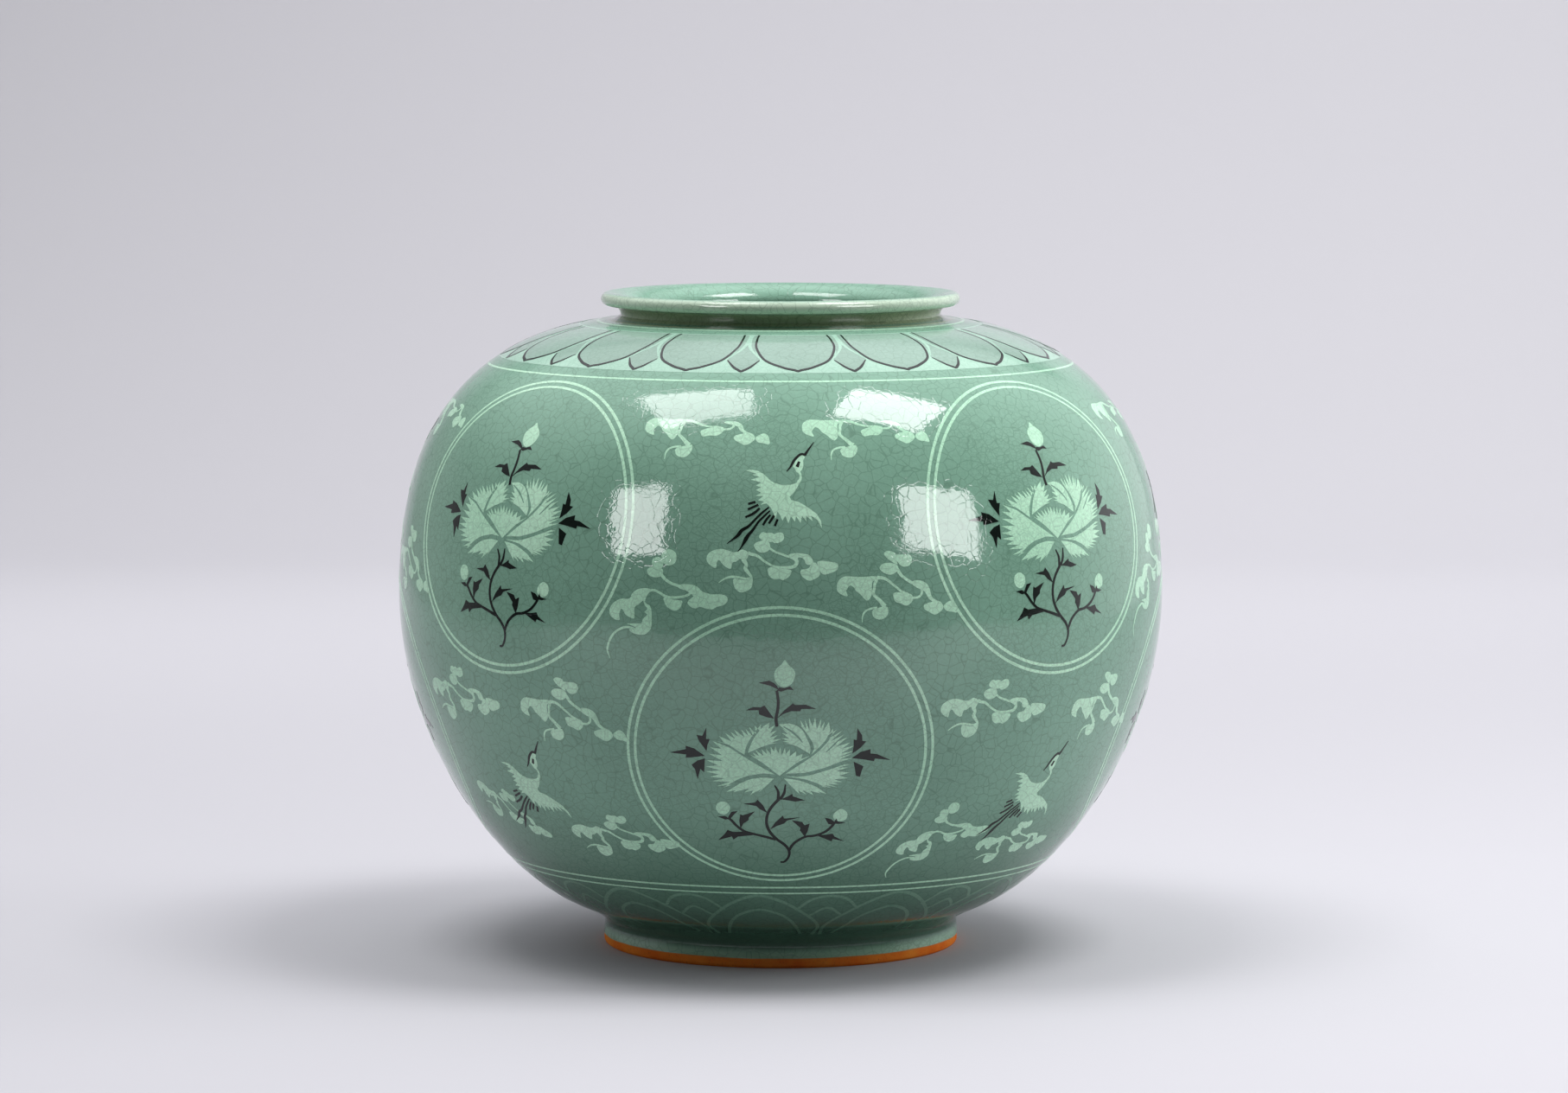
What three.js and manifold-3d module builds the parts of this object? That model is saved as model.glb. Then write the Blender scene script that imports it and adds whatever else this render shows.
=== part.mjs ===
// A round celadon jar with inlaid ornament, in millimetres, +Z up, standing on its foot at the origin.
// Two thrown bowls are luted rim to rim at the belly, on a turned foot ring and under a collar with a
// rolled lip. Its lines, medallion rings and lotus ground are white slip. Each one is pressed into a
// groove that is carved in the leather-hard wall, and then scraped flush with it.
import * as THREE from "three";
import { mergeVertices } from "three/addons/utils/BufferGeometryUtils.js";
import Module from "manifold-3d";

const wasm = await Module();
wasm.setup();
const { degToRad, lerp } = THREE.MathUtils;

// Foot ring
const FOOT_RADIUS = 70;
const FOOT_HEIGHT = 9.5;
const FOOT_WIDTH = 10; // of the ring that stands on the table
const FOOT_TAPER = 0.6; // how far the ring draws in up to the bowl
const FOOT_BEVEL = 1.4;

// Lower bowl
const BELLY_RADIUS = 150;
const BELLY_RISE = 130.5; // from the foot ring's top
const HEEL_RADIUS = 80; // where the bowl turns down into the foot
const HEEL_RISE = 7.1;
const HEEL_SLOPE = 22; // degrees
const COVE_LENGTH = 9.8; // reach of the hollow curve between heel and foot
const BOWL_PULL_AT_HEEL = 37.4; // the two pulls set how full the curve is
const BOWL_PULL_AT_BELLY = 55;
const FLOOR_THICKNESS = 8;

// Upper bowl
const SHOULDER_RISE = 106.2; // from the belly to the collar's seat
const SEAT_RADIUS = 65.2;
const SEAT_SLOPE = 5.2; // degrees
const SHOULDER_PULL_AT_BELLY = 61.5;
const SHOULDER_PULL_AT_SEAT = 59.5;
const WALL = 7;
const THROAT_DEPTH = 5.5; // how far the thickened edge of the mouth hangs below the seat

// Collar and rolled lip
const THROAT_RADIUS = 57;
const NECK_RADIUS = 62.8;
const NECK_RISE = 3.2; // from the seat to the narrowest place
const LIP_RADIUS = 70.4; // to the outside of the roll
const ROLL_RADIUS = 2.5;
const ROLL_TUCK = 17; // degrees that the roll turns past its top
const LIP_RISE = 10.4; // from the seat to the top of the roll
const MOUTH_RADIUS = 58.5;
const MOUTH_DROP = 3.2; // from the top of the roll to the mouth's edge

// Facets
const SEGMENTS = 36; // round the axis
const COVE_STEPS = 2;
const OUTER_STEPS = 6; // up each bowl
const INNER_STEPS = 4;
const NECK_STEPS = 2;
const ROLL_STEPS = 4;
const MOUTH_STEPS = 2;

// Inlaid lines: a V groove cut with a gouge, and the slip that fills it
const LINE_WIDTH = 2;
const LINE_DEPTH = 1.1;
const CLEARANCE = 0.3;
const CUT_ABOVE = 2; // how far each cutter stands out of the wall

// Level lines
const COLLAR_LINE_DROP = 6.5; // down the wall from the collar's seat
const SHOULDER_LINE_RADIUS = 114.5;
const BASE_LINE_RADIUS = 109.1;
const BASE_LINE_SPACING = 3.7;

// Medallions, four high and four low in turn, each with a double ring
const MEDALLIONS_PER_ROW = 4;
const RING_RADIUS = 57; // to the middle of the outer line
const RING_SPACING = 4; // from the outer line to the inner one
const MEDALLION_MARGIN = 5.7; // from the outer line to the level line beside it
const RING_STATIONS = 18;
const COMPASS_PASSES = 5; // rounds of correction that settle a point on its circle

// Lotus ground on the shoulder, with the petals left standing in it
const GROUND_DROP = 7; // down the wall from the collar line to the ground's upper edge
const GROUND_RISE = 5; // up the wall from the shoulder line to its lower edge
const GROUND_DEPTH = 1.1;
const PETALS = 16;
const PETAL_TURN = 3.5; // degrees
const PETAL_TIP_MARGIN = 3.4; // from a petal's tip out to the ground's lower edge
const PETAL_WIDTH = 26.6; // at the petal's open top
const PETAL_SWELL = 2.2; // how far each side bulges past that
const PETAL_POINT = 8; // half the width of the curve that closes the tip
const PETAL_STEPS = 2;

// Colours in the photograph's light
const glaze = { color: 0x6b9581, roughness: 0.16, metalness: 0 };
const footGlaze = { color: 0x7d9c86, roughness: 0.3, metalness: 0 };
const whiteSlip = { color: 0xa6d0b6, roughness: 0.18, metalness: 0 };

function makeMesh(name, geometry, finish) {
  const mesh = new THREE.Mesh(geometry, new THREE.MeshStandardMaterial(finish));
  mesh.name = name;
  return mesh;
}

function turn(points, segments = SEGMENTS) {
  return new THREE.LatheGeometry([...points, points[0]], segments).rotateX(Math.PI / 2);
}

function toSolid(geometry) {
  const bare = geometry.index ? geometry.toNonIndexed() : geometry.clone();
  bare.deleteAttribute("normal");
  bare.deleteAttribute("uv");
  const merged = mergeVertices(bare, 1e-4);
  return new wasm.Manifold(
    new wasm.Mesh({
      numProp: 3,
      vertProperties: merged.attributes.position.array,
      triVerts: new Uint32Array(merged.index.array),
    }),
  );
}

function toGeometry(solid) {
  const { vertProperties, triVerts } = solid.getMesh();
  const geometry = new THREE.BufferGeometry();
  geometry.setAttribute("position", new THREE.BufferAttribute(vertProperties, 3));
  geometry.setIndex(new THREE.BufferAttribute(triVerts, 1));
  return geometry;
}

function carve(geometry, grooves) {
  return toGeometry(grooves.reduce((body, groove) => body.subtract(toSolid(groove)), toSolid(geometry)));
}

// Outline of the wall: a hollow cove, the lower bowl's curve and the shoulder's curve
const footTop = new THREE.Vector2(FOOT_RADIUS - FOOT_TAPER, FOOT_HEIGHT);
const heel = new THREE.Vector2(HEEL_RADIUS, FOOT_HEIGHT + HEEL_RISE);
const belly = new THREE.Vector2(BELLY_RADIUS, FOOT_HEIGHT + BELLY_RISE);
const seat = new THREE.Vector2(SEAT_RADIUS, belly.y + SHOULDER_RISE);
const alongHeel = new THREE.Vector2(Math.cos(degToRad(HEEL_SLOPE)), Math.sin(degToRad(HEEL_SLOPE)));
const alongSeat = new THREE.Vector2(Math.cos(degToRad(SEAT_SLOPE)), -Math.sin(degToRad(SEAT_SLOPE)));
const coveCorner = heel.clone().addScaledVector(alongHeel, -COVE_LENGTH);
const cove = new THREE.QuadraticBezierCurve(footTop, coveCorner, heel);
const bowl = new THREE.CubicBezierCurve(
  heel,
  heel.clone().addScaledVector(alongHeel, BOWL_PULL_AT_HEEL),
  new THREE.Vector2(belly.x, belly.y - BOWL_PULL_AT_BELLY),
  belly,
);
const shoulder = new THREE.CubicBezierCurve(
  belly,
  new THREE.Vector2(belly.x, belly.y + SHOULDER_PULL_AT_BELLY),
  seat.clone().addScaledVector(alongSeat, SHOULDER_PULL_AT_SEAT),
  seat,
);
const lowerOutline = [...cove.getPoints(COVE_STEPS), ...bowl.getSpacedPoints(OUTER_STEPS).slice(1)];
const upperOutline = shoulder.getSpacedPoints(OUTER_STEPS);
const outline = [...lowerOutline, ...upperOutline.slice(1)];

// Arc of each outline point, in millimetres up the wall from the foot
const arcs = [0];
for (let i = 1; i < outline.length; i += 1) {
  arcs.push(arcs[i - 1] + outline[i].distanceTo(outline[i - 1]));
}
const bellyIndex = lowerOutline.length - 1;
const seatIndex = outline.length - 1;
const normals = outline.map((point, i) => {
  const before = outline[Math.max(i - 1, 0)];
  const after = outline[Math.min(i + 1, outline.length - 1)];
  return new THREE.Vector2(after.y - before.y, before.x - after.x).normalize();
});

function outlineAt(arc, lift = 0) {
  const i = THREE.MathUtils.clamp(arcs.findLastIndex((start) => start <= arc), 0, outline.length - 2);
  const share = (arc - arcs[i]) / (arcs[i + 1] - arcs[i]);
  const normal = normals[i].clone().lerp(normals[i + 1], share).normalize();
  return outline[i].clone().lerp(outline[i + 1], share).addScaledVector(normal, lift);
}

// Arc at which the outline passes a radius, below the belly or above it
function arcAtRadius(radius, first, last) {
  for (let i = first; i < last; i += 1) {
    const share = (radius - outline[i].x) / (outline[i + 1].x - outline[i].x);
    if (share >= 0 && share <= 1) {
      return lerp(arcs[i], arcs[i + 1], share);
    }
  }
  return arcs[last];
}

// A point on the faceted wall, or at a height above it; azimuth 0 is the front
function wallAt(arc, azimuth, lift = 0) {
  const half = Math.PI / SEGMENTS;
  const inFacet = THREE.MathUtils.euclideanModulo(azimuth, 2 * half) - half;
  const { x, y } = outlineAt(arc, lift);
  const radius = (x * Math.cos(half)) / Math.cos(inFacet);
  return new THREE.Vector3(radius * Math.sin(azimuth), -radius * Math.cos(azimuth), y);
}

// Places of the lines and of the lotus ground, as arcs up the wall
const collarLineArc = arcs[seatIndex] - COLLAR_LINE_DROP;
const shoulderLineArc = arcAtRadius(SHOULDER_LINE_RADIUS, bellyIndex, seatIndex);
const baseLineArc = arcAtRadius(BASE_LINE_RADIUS, 0, bellyIndex);
const groundTop = collarLineArc - GROUND_DROP;
const groundBottom = shoulderLineArc + GROUND_RISE;

// Bowls
function insideOf(curve, share) {
  const tangent = curve.getTangentAt(share);
  return curve.getPointAt(share).add(new THREE.Vector2(-tangent.y, tangent.x).multiplyScalar(WALL));
}

const innerShares = Array.from({ length: INNER_STEPS }, (_, i) => i / INNER_STEPS);

const seamInside = new THREE.Vector2(BELLY_RADIUS - WALL, belly.y);
const floorTop = FOOT_HEIGHT + FLOOR_THICKNESS;
const heelInside = insideOf(bowl, 0);
const floorEdge = heelInside.clone().addScaledVector(alongHeel, (floorTop - heelInside.y) / alongHeel.y);
const lowerProfile = [
  new THREE.Vector2(0, FOOT_HEIGHT),
  ...lowerOutline,
  seamInside,
  ...innerShares.toReversed().map((share) => insideOf(bowl, share)),
  floorEdge,
  new THREE.Vector2(0, floorTop),
];
const upperProfile = [
  seamInside,
  ...upperOutline,
  new THREE.Vector2(THROAT_RADIUS, seat.y),
  new THREE.Vector2(THROAT_RADIUS, seat.y - THROAT_DEPTH),
  ...innerShares.map((share) => insideOf(shoulder, 1 - share)),
];

// Foot ring, which draws in a little towards the bowl
const footProfile = [
  new THREE.Vector2(FOOT_RADIUS - FOOT_WIDTH, 0),
  new THREE.Vector2(FOOT_RADIUS - FOOT_BEVEL, 0),
  new THREE.Vector2(FOOT_RADIUS, FOOT_BEVEL),
  footTop,
  new THREE.Vector2(footTop.x - FOOT_WIDTH, FOOT_HEIGHT),
];

// Collar: a hollow neck under a rolled lip that slopes in to the mouth
const rollMiddle = new THREE.Vector2(LIP_RADIUS - ROLL_RADIUS, seat.y + LIP_RISE - ROLL_RADIUS);
const neck = new THREE.QuadraticBezierCurve(
  new THREE.Vector2(NECK_RADIUS, seat.y + NECK_RISE / 2),
  new THREE.Vector2(NECK_RADIUS, rollMiddle.y - ROLL_RADIUS),
  new THREE.Vector2(rollMiddle.x, rollMiddle.y - ROLL_RADIUS),
);
const rollEnd = Math.PI / 2 + degToRad(ROLL_TUCK);
const { x: rollX, y: rollY } = rollMiddle;
const roll = new THREE.EllipseCurve(rollX, rollY, ROLL_RADIUS, ROLL_RADIUS, -Math.PI / 2, rollEnd);
const mouth = new THREE.QuadraticBezierCurve(
  roll.getPoint(1),
  new THREE.Vector2(MOUTH_RADIUS, seat.y + LIP_RISE - MOUTH_DROP / 2),
  new THREE.Vector2(THROAT_RADIUS, seat.y + LIP_RISE - MOUTH_DROP - NECK_RISE),
);
const collarProfile = [
  new THREE.Vector2(THROAT_RADIUS, seat.y),
  seat,
  ...neck.getPoints(NECK_STEPS),
  ...roll.getPoints(ROLL_STEPS).slice(1),
  ...mouth.getPoints(MOUTH_STEPS).slice(1),
];

// V section of a line, as [distance across, lift off the wall]; room widens it on every side
function lineSection(room, above) {
  const slope = LINE_WIDTH / 2 / LINE_DEPTH;
  const depth = LINE_DEPTH + room * Math.hypot(1, 1 / slope);
  const half = (depth + above) * slope;
  return [[-half, above], [half, above], [0, -depth]];
}

function levelLine(arc, room = 0, above = 0) {
  return turn(lineSection(room, above).map(([across, lift]) => outlineAt(arc + across, lift)));
}

// Ring of a medallion, drawn with a compass: every point keeps its distance from the middle
function medallionRing({ arc, azimuth, radius }, room = 0, above = 0) {
  const section = lineSection(room, above).reverse();
  const ring = turn(section.map(([across, lift]) => new THREE.Vector2(radius + across, lift)), RING_STATIONS);
  const middle = wallAt(arc, azimuth);
  const position = ring.getAttribute("position");
  const flat = new THREE.Vector3();
  for (let i = 0; i < position.count; i += 1) {
    flat.fromBufferAttribute(position, i);
    const distance = Math.hypot(flat.x, flat.y);
    let stretch = 1;
    let spot = [arc, azimuth];
    for (let pass = 0; pass < COMPASS_PASSES; pass += 1) {
      const along = arc + flat.y * stretch;
      spot = [along, azimuth + (flat.x * stretch) / outlineAt(along).x];
      stretch *= distance / wallAt(...spot).distanceTo(middle);
    }
    position.setXYZ(i, ...wallAt(...spot, flat.z));
  }
  return ring;
}

// Lotus ground: a strip of the wall's skin with the petals cut out of its upper edge
function wallStrip(low, high, below, above) {
  const stations = [low, ...arcs.filter((arc) => arc > low && arc < high), high];
  const over = stations.map((arc) => outlineAt(arc, above));
  const under = stations.map((arc) => outlineAt(arc, -below)).reverse();
  return turn([...over, ...under]);
}

function petalCutter(azimuth, room) {
  const side = PETAL_WIDTH / 2 - room;
  const swell = side + PETAL_SWELL;
  const tip = -outlineAt(groundBottom).x + PETAL_TIP_MARGIN + room;
  const open = -outlineAt(groundTop).x + GROUND_DEPTH + CUT_ABOVE;
  const widest = (open + tip) / 2;
  const bend = tip + PETAL_POINT / 2;
  const shape = new THREE.Shape();
  shape.moveTo(side, open);
  shape.bezierCurveTo(swell, widest, PETAL_POINT, bend, 0, tip);
  shape.bezierCurveTo(-PETAL_POINT, bend, -swell, widest, -side, open);
  shape.closePath();
  const petal = new THREE.ExtrudeGeometry(shape, {
    depth: SHOULDER_RISE + CUT_ABOVE,
    bevelEnabled: false,
    curveSegments: PETAL_STEPS,
  });
  return petal.translate(0, 0, belly.y).rotateZ(azimuth);
}

function lotusGround(room = 0, above = 0) {
  const strip = wallStrip(groundBottom - room, groundTop + room, GROUND_DEPTH + room, above);
  const step = (2 * Math.PI) / PETALS;
  const petals = Array.from({ length: PETALS }, (_, i) => petalCutter(degToRad(PETAL_TURN) + i * step, room));
  return carve(strip, petals);
}

// Every level line and medallion ring by its name
const levelLines = {
  collar_line: collarLineArc,
  shoulder_line: shoulderLineArc,
  base_line_upper: baseLineArc,
  base_line_lower: baseLineArc - BASE_LINE_SPACING,
};
const rows = [
  { row: "upper", arc: shoulderLineArc - MEDALLION_MARGIN - RING_RADIUS, first: Math.PI / MEDALLIONS_PER_ROW },
  { row: "lower", arc: baseLineArc + MEDALLION_MARGIN + RING_RADIUS, first: 0 },
];
const rings = {};
for (const { row, arc, first } of rows) {
  for (let i = 0; i < MEDALLIONS_PER_ROW; i += 1) {
    const azimuth = first + (i * 2 * Math.PI) / MEDALLIONS_PER_ROW;
    rings[`${row}_medallion_${i + 1}_outer_ring`] = { arc, azimuth, radius: RING_RADIUS };
    rings[`${row}_medallion_${i + 1}_inner_ring`] = { arc, azimuth, radius: RING_RADIUS - RING_SPACING };
  }
}

// Grooves, cut after the bowls are luted, so that a ring may run over the seam
const lineGrooves = Object.values(levelLines).map((arc) => levelLine(arc, CLEARANCE, CUT_ABOVE));
const ringGrooves = Object.values(rings).map((ring) => medallionRing(ring, CLEARANCE, CUT_ABOVE));
const grooves = [...lineGrooves, ...ringGrooves];

const thrown = new THREE.Group();
thrown.add(
  makeMesh("foot_ring", turn(footProfile), footGlaze),
  makeMesh("lower_bowl", carve(turn(lowerProfile), grooves), glaze),
  makeMesh("upper_bowl", carve(turn(upperProfile), [...grooves, lotusGround(CLEARANCE, CUT_ABOVE)]), glaze),
  makeMesh("collar", turn(collarProfile), glaze),
);

const inlay = new THREE.Group();
inlay.add(makeMesh("lotus_ground", lotusGround(), whiteSlip));
for (const [name, arc] of Object.entries(levelLines)) {
  inlay.add(makeMesh(name, levelLine(arc), whiteSlip));
}
for (const [name, ring] of Object.entries(rings)) {
  inlay.add(makeMesh(name, medallionRing(ring), whiteSlip));
}

const jar = new THREE.Group();
jar.add(thrown, inlay);

export default jar;
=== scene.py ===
# %% [markdown]
# A round inlaid celadon jar
#
# The jar is a thrown ball of grey stoneware, 300 mm wide, under a clear green glaze. Its ornament is
# inlay: the potter carves lines and shapes in the leather-hard wall, presses white or black slip into
# them, scrapes them flush and glazes over everything. This lesson turns the jar first, then lays
# every inlaid shape on its wall, and then mixes the glaze that covers them all.

import math

import bpy
import numpy as np
from mathutils import Matrix, Vector, geometry


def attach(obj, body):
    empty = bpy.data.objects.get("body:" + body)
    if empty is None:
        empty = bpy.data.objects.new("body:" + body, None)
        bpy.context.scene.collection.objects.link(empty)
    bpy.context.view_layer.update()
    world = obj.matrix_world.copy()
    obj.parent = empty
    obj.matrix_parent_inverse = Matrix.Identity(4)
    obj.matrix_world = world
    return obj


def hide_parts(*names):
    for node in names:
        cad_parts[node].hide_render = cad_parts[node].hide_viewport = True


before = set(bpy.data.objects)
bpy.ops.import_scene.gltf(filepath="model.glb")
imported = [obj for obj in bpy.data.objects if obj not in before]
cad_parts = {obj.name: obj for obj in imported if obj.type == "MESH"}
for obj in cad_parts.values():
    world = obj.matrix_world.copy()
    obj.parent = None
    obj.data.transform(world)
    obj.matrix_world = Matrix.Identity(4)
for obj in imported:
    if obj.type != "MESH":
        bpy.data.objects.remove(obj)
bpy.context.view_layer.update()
MM = 0.001

# %% [markdown]
# The wall as a line
#
# A potter checks a round jar with a rib cut to its outline, and everything here uses such a rib: one
# line of radius and height, in millimetres, from the top of the foot to the seat of the collar. It
# could be drawn as a curve object, but sampled Bezier curves are easier to measure along. The
# distance up the wall, the arc, then places each line and flower, as a tape laid on the jar would.

# %% The rib
FOOT_TOP = (69.4, 9.5)
HEEL = (80.0, 16.6)
HEEL_SLOPE = math.radians(22)
BELLY = (150.0, 140.0)
SEAT = (65.2, 246.2)
SEAT_SLOPE = math.radians(5.2)


def bezier(points, steps):
    """Points along a Bezier curve of any degree."""
    share = np.linspace(0, 1, steps + 1)[:, None]
    layer = [np.array(point, float)[None] for point in points]
    while len(layer) > 1:
        layer = [low * (1 - share) + high * share for low, high in zip(layer, layer[1:])]
    return layer[0]


def beyond(point, slope, reach):
    """The point that lies a reach further along a slope."""
    return (point[0] + reach * math.cos(slope), point[1] + reach * math.sin(slope))


cove = bezier([FOOT_TOP, beyond(HEEL, HEEL_SLOPE, -9.8), HEEL], 12)
bowl = bezier([HEEL, beyond(HEEL, HEEL_SLOPE, 37.4), (150, 85), BELLY], 60)
shoulder = bezier([BELLY, (150, 201.5), beyond(SEAT, -SEAT_SLOPE, 59.5), SEAT], 60)
wall = np.vstack([cove, bowl[1:], shoulder[1:]])
wall_arc = np.concatenate([[0], np.cumsum(np.hypot(*np.diff(wall, axis=0).T))])
slopes = np.gradient(wall, wall_arc, axis=0)
slopes /= np.linalg.norm(slopes, axis=1)[:, None]


def wall_at(arc):
    """Radius and height on the wall at an arc, and the way that the wall faces there."""
    spot = [np.interp(arc, wall_arc, wall[:, i]) for i in (0, 1)]
    up = [np.interp(arc, wall_arc, slopes[:, i]) for i in (0, 1)]
    return np.array(spot), np.array([up[1], -up[0]]) / math.hypot(*up)


def arc_at_radius(radius, above_belly):
    """The arc at which the wall has a radius, over or under the belly."""
    belly = int(np.argmax(wall[:, 0]))
    part = slice(belly, None) if above_belly else slice(0, belly + 1)
    radii, arcs = wall[part, 0], wall_arc[part]
    step = -1 if above_belly else 1
    return float(np.interp(radius, radii[::step], arcs[::step]))


print("wall length", round(wall_arc[-1], 2), "mm, belly radius", wall[:, 0].max())

# %% [markdown]
# Two small helpers
#
# Every material and every node tree below is built by one function that adds a node, sets it and
# links it. Colours are written as they look on a screen and turned to linear light in one place.

# %% Helpers for nodes and colours
def add_node(tree, kind, inputs=None, **settings):
    """Adds a node and sets it. An input, by name or number, takes a value, a socket or another node,
    which stands for its first live output."""
    node = tree.nodes.new(kind)
    for name, value in settings.items():
        setattr(node, name, value)
    for name, value in (inputs or {}).items():
        if isinstance(value, bpy.types.Node):
            value = next(socket for socket in value.outputs if socket.enabled)
        if isinstance(value, bpy.types.NodeSocket):
            tree.links.new(value, node.inputs[name])
        else:
            node.inputs[name].default_value = value
    return node


def linear(code, alpha=1.0):
    """A colour such as 6B9581 as linear light."""
    shares = [int(code[i : i + 2], 16) / 255 for i in (0, 2, 4)]
    return (*[s / 12.92 if s <= 0.04045 else ((s + 0.055) / 1.055) ** 2.4 for s in shares], alpha)


print("mid celadon in linear light:", [round(c, 3) for c in linear("6B9581")[:3]])

# %% [markdown]
# Camera
#
# The photograph was taken from about 2.3 m with a long lens, a little above the jar, so that the
# mouth shows as a narrow ellipse. A camera could be placed by eye, but a small error in its height
# shows at once in that ellipse. So the distance and the tilt were fitted to the outline, the foot, the
# lip and the level lines together.

# %% Camera
PHOTO_SIZE = (1814, 1264)
FOCAL_PIXELS = 6924.4
CAMERA_PLACE = Vector((1.35, -2344.5, 384.3)) * MM
CAMERA_DIP = math.radians(5.555)
camera_data = bpy.data.cameras.new("studio camera")
camera_data.sensor_width = 36
camera_data.lens = 36 * FOCAL_PIXELS / PHOTO_SIZE[0]
camera = bpy.data.objects.new("studio camera", camera_data)
camera.location = CAMERA_PLACE
camera.rotation_euler = (math.pi / 2 - CAMERA_DIP, 0, 0)
bpy.context.collection.objects.link(camera)
bpy.context.scene.camera = camera
bpy.context.scene.view_settings.view_transform = "Standard"
print("lens", round(camera_data.lens, 1), "mm")

# %% [markdown]
# Turning on the wheel
#
# A thrown pot is a section turned about an axis. Spin or a screw modifier would do it, but a small
# Geometry Nodes tree can also lift the glaze's lower edge in a slow wave, which no lathe does. It
# bends a flat grid round the axis: one row of the grid for each point of the section, one column
# for each station round the jar, and then it welds the seam and the poles.

# %% The wheel, as a node tree
def new_tree(name, sockets):
    """An empty tree with named inputs, and the outputs of its input node."""
    tree = bpy.data.node_groups.new(name, "GeometryNodeTree")
    for label, kind in sockets.items():
        tree.interface.new_socket(label, in_out="INPUT", socket_type="NodeSocket" + kind)
    tree.interface.new_socket("Shape", in_out="OUTPUT", socket_type="NodeSocketGeometry")
    return tree, tree.nodes.new("NodeGroupInput").outputs


def wheel_tree():
    tree, given = new_tree(
        "turn on the wheel",
        {"Section": "Geometry", "Stations round": "Int", "Wave of the edge": "Float", "Finish": "Material"},
    )
    count = add_node(tree, "GeometryNodeAttributeDomainSize", {0: given["Section"]}).outputs["Point Count"]
    columns = add_node(tree, "ShaderNodeMath", {0: given["Stations round"], 1: 1.0}, operation="ADD")
    grid = add_node(tree, "GeometryNodeMeshGrid", {"Vertices X": columns, "Vertices Y": count})
    place = add_node(tree, "GeometryNodeInputPosition")
    flat = add_node(tree, "ShaderNodeSeparateXYZ", {0: place})
    # the grid is one metre wide about the middle: across it runs a full turn, and up it the section
    full = {"From Min": -0.5, "From Max": 0.5}
    turn = add_node(tree, "ShaderNodeMapRange", {"Value": flat.outputs[0], "To Max": 2 * math.pi, **full})
    last = add_node(tree, "ShaderNodeMath", {0: count, 1: 1.0}, operation="SUBTRACT")
    row = add_node(tree, "ShaderNodeMapRange", {"Value": flat.outputs[1], "To Max": last, **full})
    row = add_node(tree, "ShaderNodeMath", {0: row}, operation="ROUND")
    sampled = {0: given["Section"], "Value": place, "Index": row}
    section = add_node(tree, "GeometryNodeSampleIndex", sampled, data_type="FLOAT_VECTOR")
    point = add_node(tree, "ShaderNodeSeparateXYZ", {0: section})
    # the wave is read along a circle, so that it closes
    round_way = {"Vector": (0.0, 1.0, 0.0), "Angle": turn}
    round_way = add_node(tree, "ShaderNodeVectorRotate", round_way, rotation_type="Z_AXIS", invert=True)
    noise = add_node(tree, "ShaderNodeTexNoise", {"Vector": round_way, "Scale": 2.3, "Detail": 3.0})
    wave = add_node(tree, "ShaderNodeMath", {0: noise, 1: 0.5}, operation="SUBTRACT")
    wave = add_node(tree, "ShaderNodeMath", {0: wave, 1: given["Wave of the edge"]}, operation="MULTIPLY")
    lifted = {0: wave, 1: point.outputs[0], 2: point.outputs[2]}
    height = add_node(tree, "ShaderNodeMath", lifted, operation="MULTIPLY_ADD")
    front = add_node(tree, "ShaderNodeCombineXYZ", {1: point.outputs[1], 2: height})
    spot = add_node(tree, "ShaderNodeVectorRotate", {"Vector": front, "Angle": turn}, rotation_type="Z_AXIS")
    bent = add_node(tree, "GeometryNodeSetPosition", {0: grid.outputs[0], "Position": spot})
    welded = add_node(tree, "GeometryNodeMergeByDistance", {0: bent, "Distance": 2e-6})
    real = add_node(tree, "GeometryNodeRealizeInstances", {0: welded})
    done = add_node(tree, "GeometryNodeSetMaterial", {0: real, "Material": given["Finish"]})
    add_node(tree, "NodeGroupOutput", {0: done})
    return tree


wheel = wheel_tree()
print("wheel inputs:", [socket.name for socket in wheel.interface.items_tree])

# %% [markdown]
# A tree works through a modifier. Left live, it would keep the sizes open to change, but a finished
# piece is better as plain mesh, which opens the same way everywhere. So the tree runs once, its result
# is copied off and the modifier goes. The same few lines run both trees of this lesson.

# %% Running a tree and keeping its result as plain mesh
def run_tree(name, start, tree, values):
    """Evaluates a tree on a start mesh and returns a new object with the plain result."""
    holder = bpy.data.objects.new(name + " start", start)
    bpy.context.collection.objects.link(holder)
    modifier = holder.modifiers.new("tree", "NODES")
    modifier.node_group = tree
    for socket in tree.interface.items_tree:
        if socket.name in values:
            modifier[socket.identifier] = values[socket.name]
    graph = bpy.context.evaluated_depsgraph_get()
    mesh = bpy.data.meshes.new_from_object(holder.evaluated_get(graph), depsgraph=graph)
    mesh.name = name
    holder.modifiers.remove(modifier)
    bpy.data.objects.remove(holder)
    piece = bpy.data.objects.new(name, mesh)
    bpy.context.collection.objects.link(piece)
    print(name, "faces", len(mesh.polygons), "size mm", [round(d / MM, 1) for d in piece.dimensions])
    return piece


def section_mesh(points, waves=()):
    """A section as loose points at the jar's front. X says which of them ride the wave."""
    mesh = bpy.data.meshes.new("section")
    rows = [(1.0 if i in waves else 0.0, -x * MM, z * MM) for i, (x, z) in enumerate(points)]
    mesh.from_pydata(rows, [], [])
    return mesh


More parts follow.
